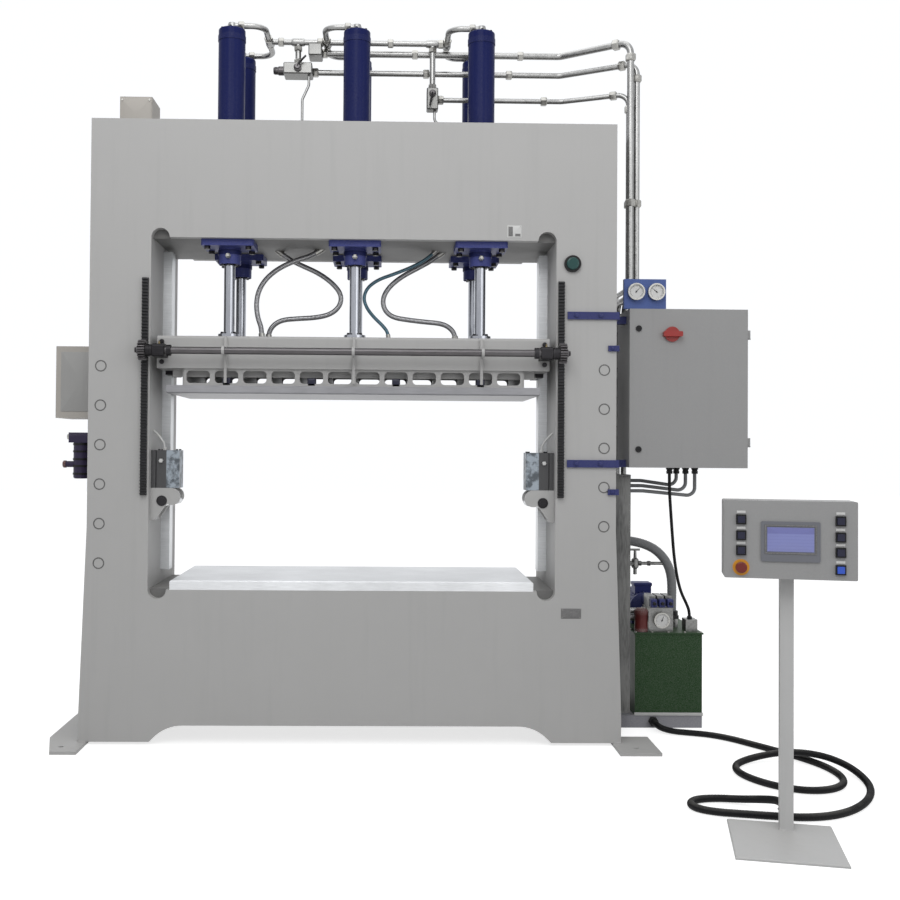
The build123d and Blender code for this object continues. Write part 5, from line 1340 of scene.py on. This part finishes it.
def dressStand(facts):
    middle = facts["middle"]
    bezels, strips, disc = [], [], []
    for side, z in product(both, facts["keyZs"]):
        x = middle + side * facts["keyX"]
        if (side, z) == facts["stop"]:
            disc.append(ringOf((x, 0, z), againstY, *facts["disc"]))
            continue
        bezels.append(ringOf((x, 0, z), againstY, *facts["bezel"]))
        rise = shifted(z, facts["stripRise"])
        strips.append(slab(x, facts["stripHalf"], facts["stripY"], rise, facts["stripEdge"]))
    lips = [spanBlock(shifted(middle, xs), facts["lipY"], zs, facts["lipEdge"]) for xs, zs in facts["lips"]]
    heads = product(shifted(middle, facts["screwX"]), (facts["screwY"],), facts["screwZs"])
    corners = facts["postHalf"] * np.array([(-1, -1), (1, -1), (1, 1), (-1, 1), (-1, -1)])
    weld = [(middle + x, facts["postY"] + y, facts["postZ"]) for x, y in corners]
    nut = pipeNut((middle, *facts["cableSpot"]), alongY, *facts["cableNut"])
    for name, grids, look, slot in (
        ("key_bezels", bezels, "blackPlastic", None),
        ("key_strips", strips, "whitePlastic", None),
        ("stop_disc", disc, "yellowPlastic", None),
        ("display_pane", [slab(middle, *facts["pane"])], "litDisplay", None),
        ("display_lips", lips, "plateGrey", "black_plastic"),
        ("panel_back", [slab(middle, *facts["backLid"])], "cabinetPaint", None),
        ("panel_screws", each(socketHead, heads, alongY, *facts["screw"]), "brightZinc", None),
        ("post_weld", [bead(weld, facts["postBead"])], "palePaint", None),
        ("post_nut", nut, "blackPlastic", None),
    ):
        addPiece(name, onStand(grids, facts), look, slot=slot)


dressStand(standTrim)
print("stand dressed")


# Floor and soft studio light: camera, glossy and clear rays see the background as white
stageSettings = {
    "floorSize": 60.0,
    "floorColour": (0.55, 0.55, 0.55),
    "floorRough": 0.7,
    "floorLift": 0.74,  # added to what the camera sees of the floor, not to the light on the press
    "worldColour": (0.97, 0.98, 1.0, 1),
    "worldStrength": 0.44,
    "seenStrength": 1.03,  # what the camera and mirrors see of the world
    "lights": [
        {"name": "key", "place": (-0.6, -5.2, 6.0), "aim": (0, 0, 2.3), "size": 4.0, "power": 172},
        {"name": "fill", "place": (4.8, -6.0, 3.6), "aim": (0.5, 0, 1.4), "size": 4.0, "power": 75},
        {"name": "top", "place": (0.0, 0.5, 7.5), "aim": (0, 0, 0), "size": 6.0, "power": 160},
    ],
}


def seenRays(tree):
    rays = addNode(tree, "ShaderNodeLightPath").outputs
    mirrors = calc(tree, "ADD", rays["Is Glossy Ray"], rays["Is Transmission Ray"])
    return calc(tree, "MINIMUM", calc(tree, "ADD", rays["Is Camera Ray"], mirrors), 1.0)


def addStage(settings):
    floor = bpy.data.meshes.new("floor")
    reach = settings["floorSize"] / 2
    corners = [(-reach, -reach, 0), (reach, -reach, 0), (reach, reach, 0), (-reach, reach, 0)]
    floor.from_pydata(corners, [], [(0, 1, 2, 3)])
    material = bpy.data.materials.new("paleFloor")
    material.use_nodes = True
    tree = material.node_tree
    shader = tree.nodes["Principled BSDF"]
    place = addNode(tree, "ShaderNodeTexCoord").outputs["Object"]
    clouds = {"Vector": place, "Scale": 0.8, "Detail": 4.0}
    cloudy = addNode(tree, "ShaderNodeTexNoise", clouds).outputs["Fac"]
    base = settings["floorColour"]
    tree.links.new(mixColour(tree, cloudy, tone(base, 0.98), tone(base, 1.02)), shader.inputs["Base Color"])
    shader.inputs["Roughness"].default_value = settings["floorRough"]
    shader.inputs["Emission Color"].default_value = (1, 1, 1, 1)
    lift = calc(tree, "MULTIPLY", seenRays(tree), settings["floorLift"])
    tree.links.new(lift, shader.inputs["Emission Strength"])
    floor.materials.append(material)
    floorPiece = bpy.data.objects.new("floor", floor)
    scene.collection.objects.link(floorPiece)
    world = bpy.data.worlds.new("studio")
    world.use_nodes = True
    tree = world.node_tree
    background = tree.nodes["Background"]
    background.inputs["Color"].default_value = settings["worldColour"]
    strength = settings["worldStrength"]
    seen = calc(tree, "MULTIPLY", seenRays(tree), settings["seenStrength"] - strength)
    lit = calc(tree, "ADD", seen, strength)
    tree.links.new(lit, background.inputs["Strength"])
    scene.world = world
    for light in settings["lights"]:
        lamp = bpy.data.lights.new(light["name"], "AREA")
        lamp.size = light["size"]
        lamp.energy = light["power"]
        holder = bpy.data.objects.new(light["name"], lamp)
        aim = Vector(light["aim"]) - Vector(light["place"])
        turn = aim.to_track_quat("-Z", "Y").to_matrix()
        holder.matrix_world = Matrix.Translation(light["place"]) @ turn.to_4x4()
        scene.collection.objects.link(holder)
    scene.view_settings.view_transform = "Standard"


addStage(stageSettings)
print("stage set")
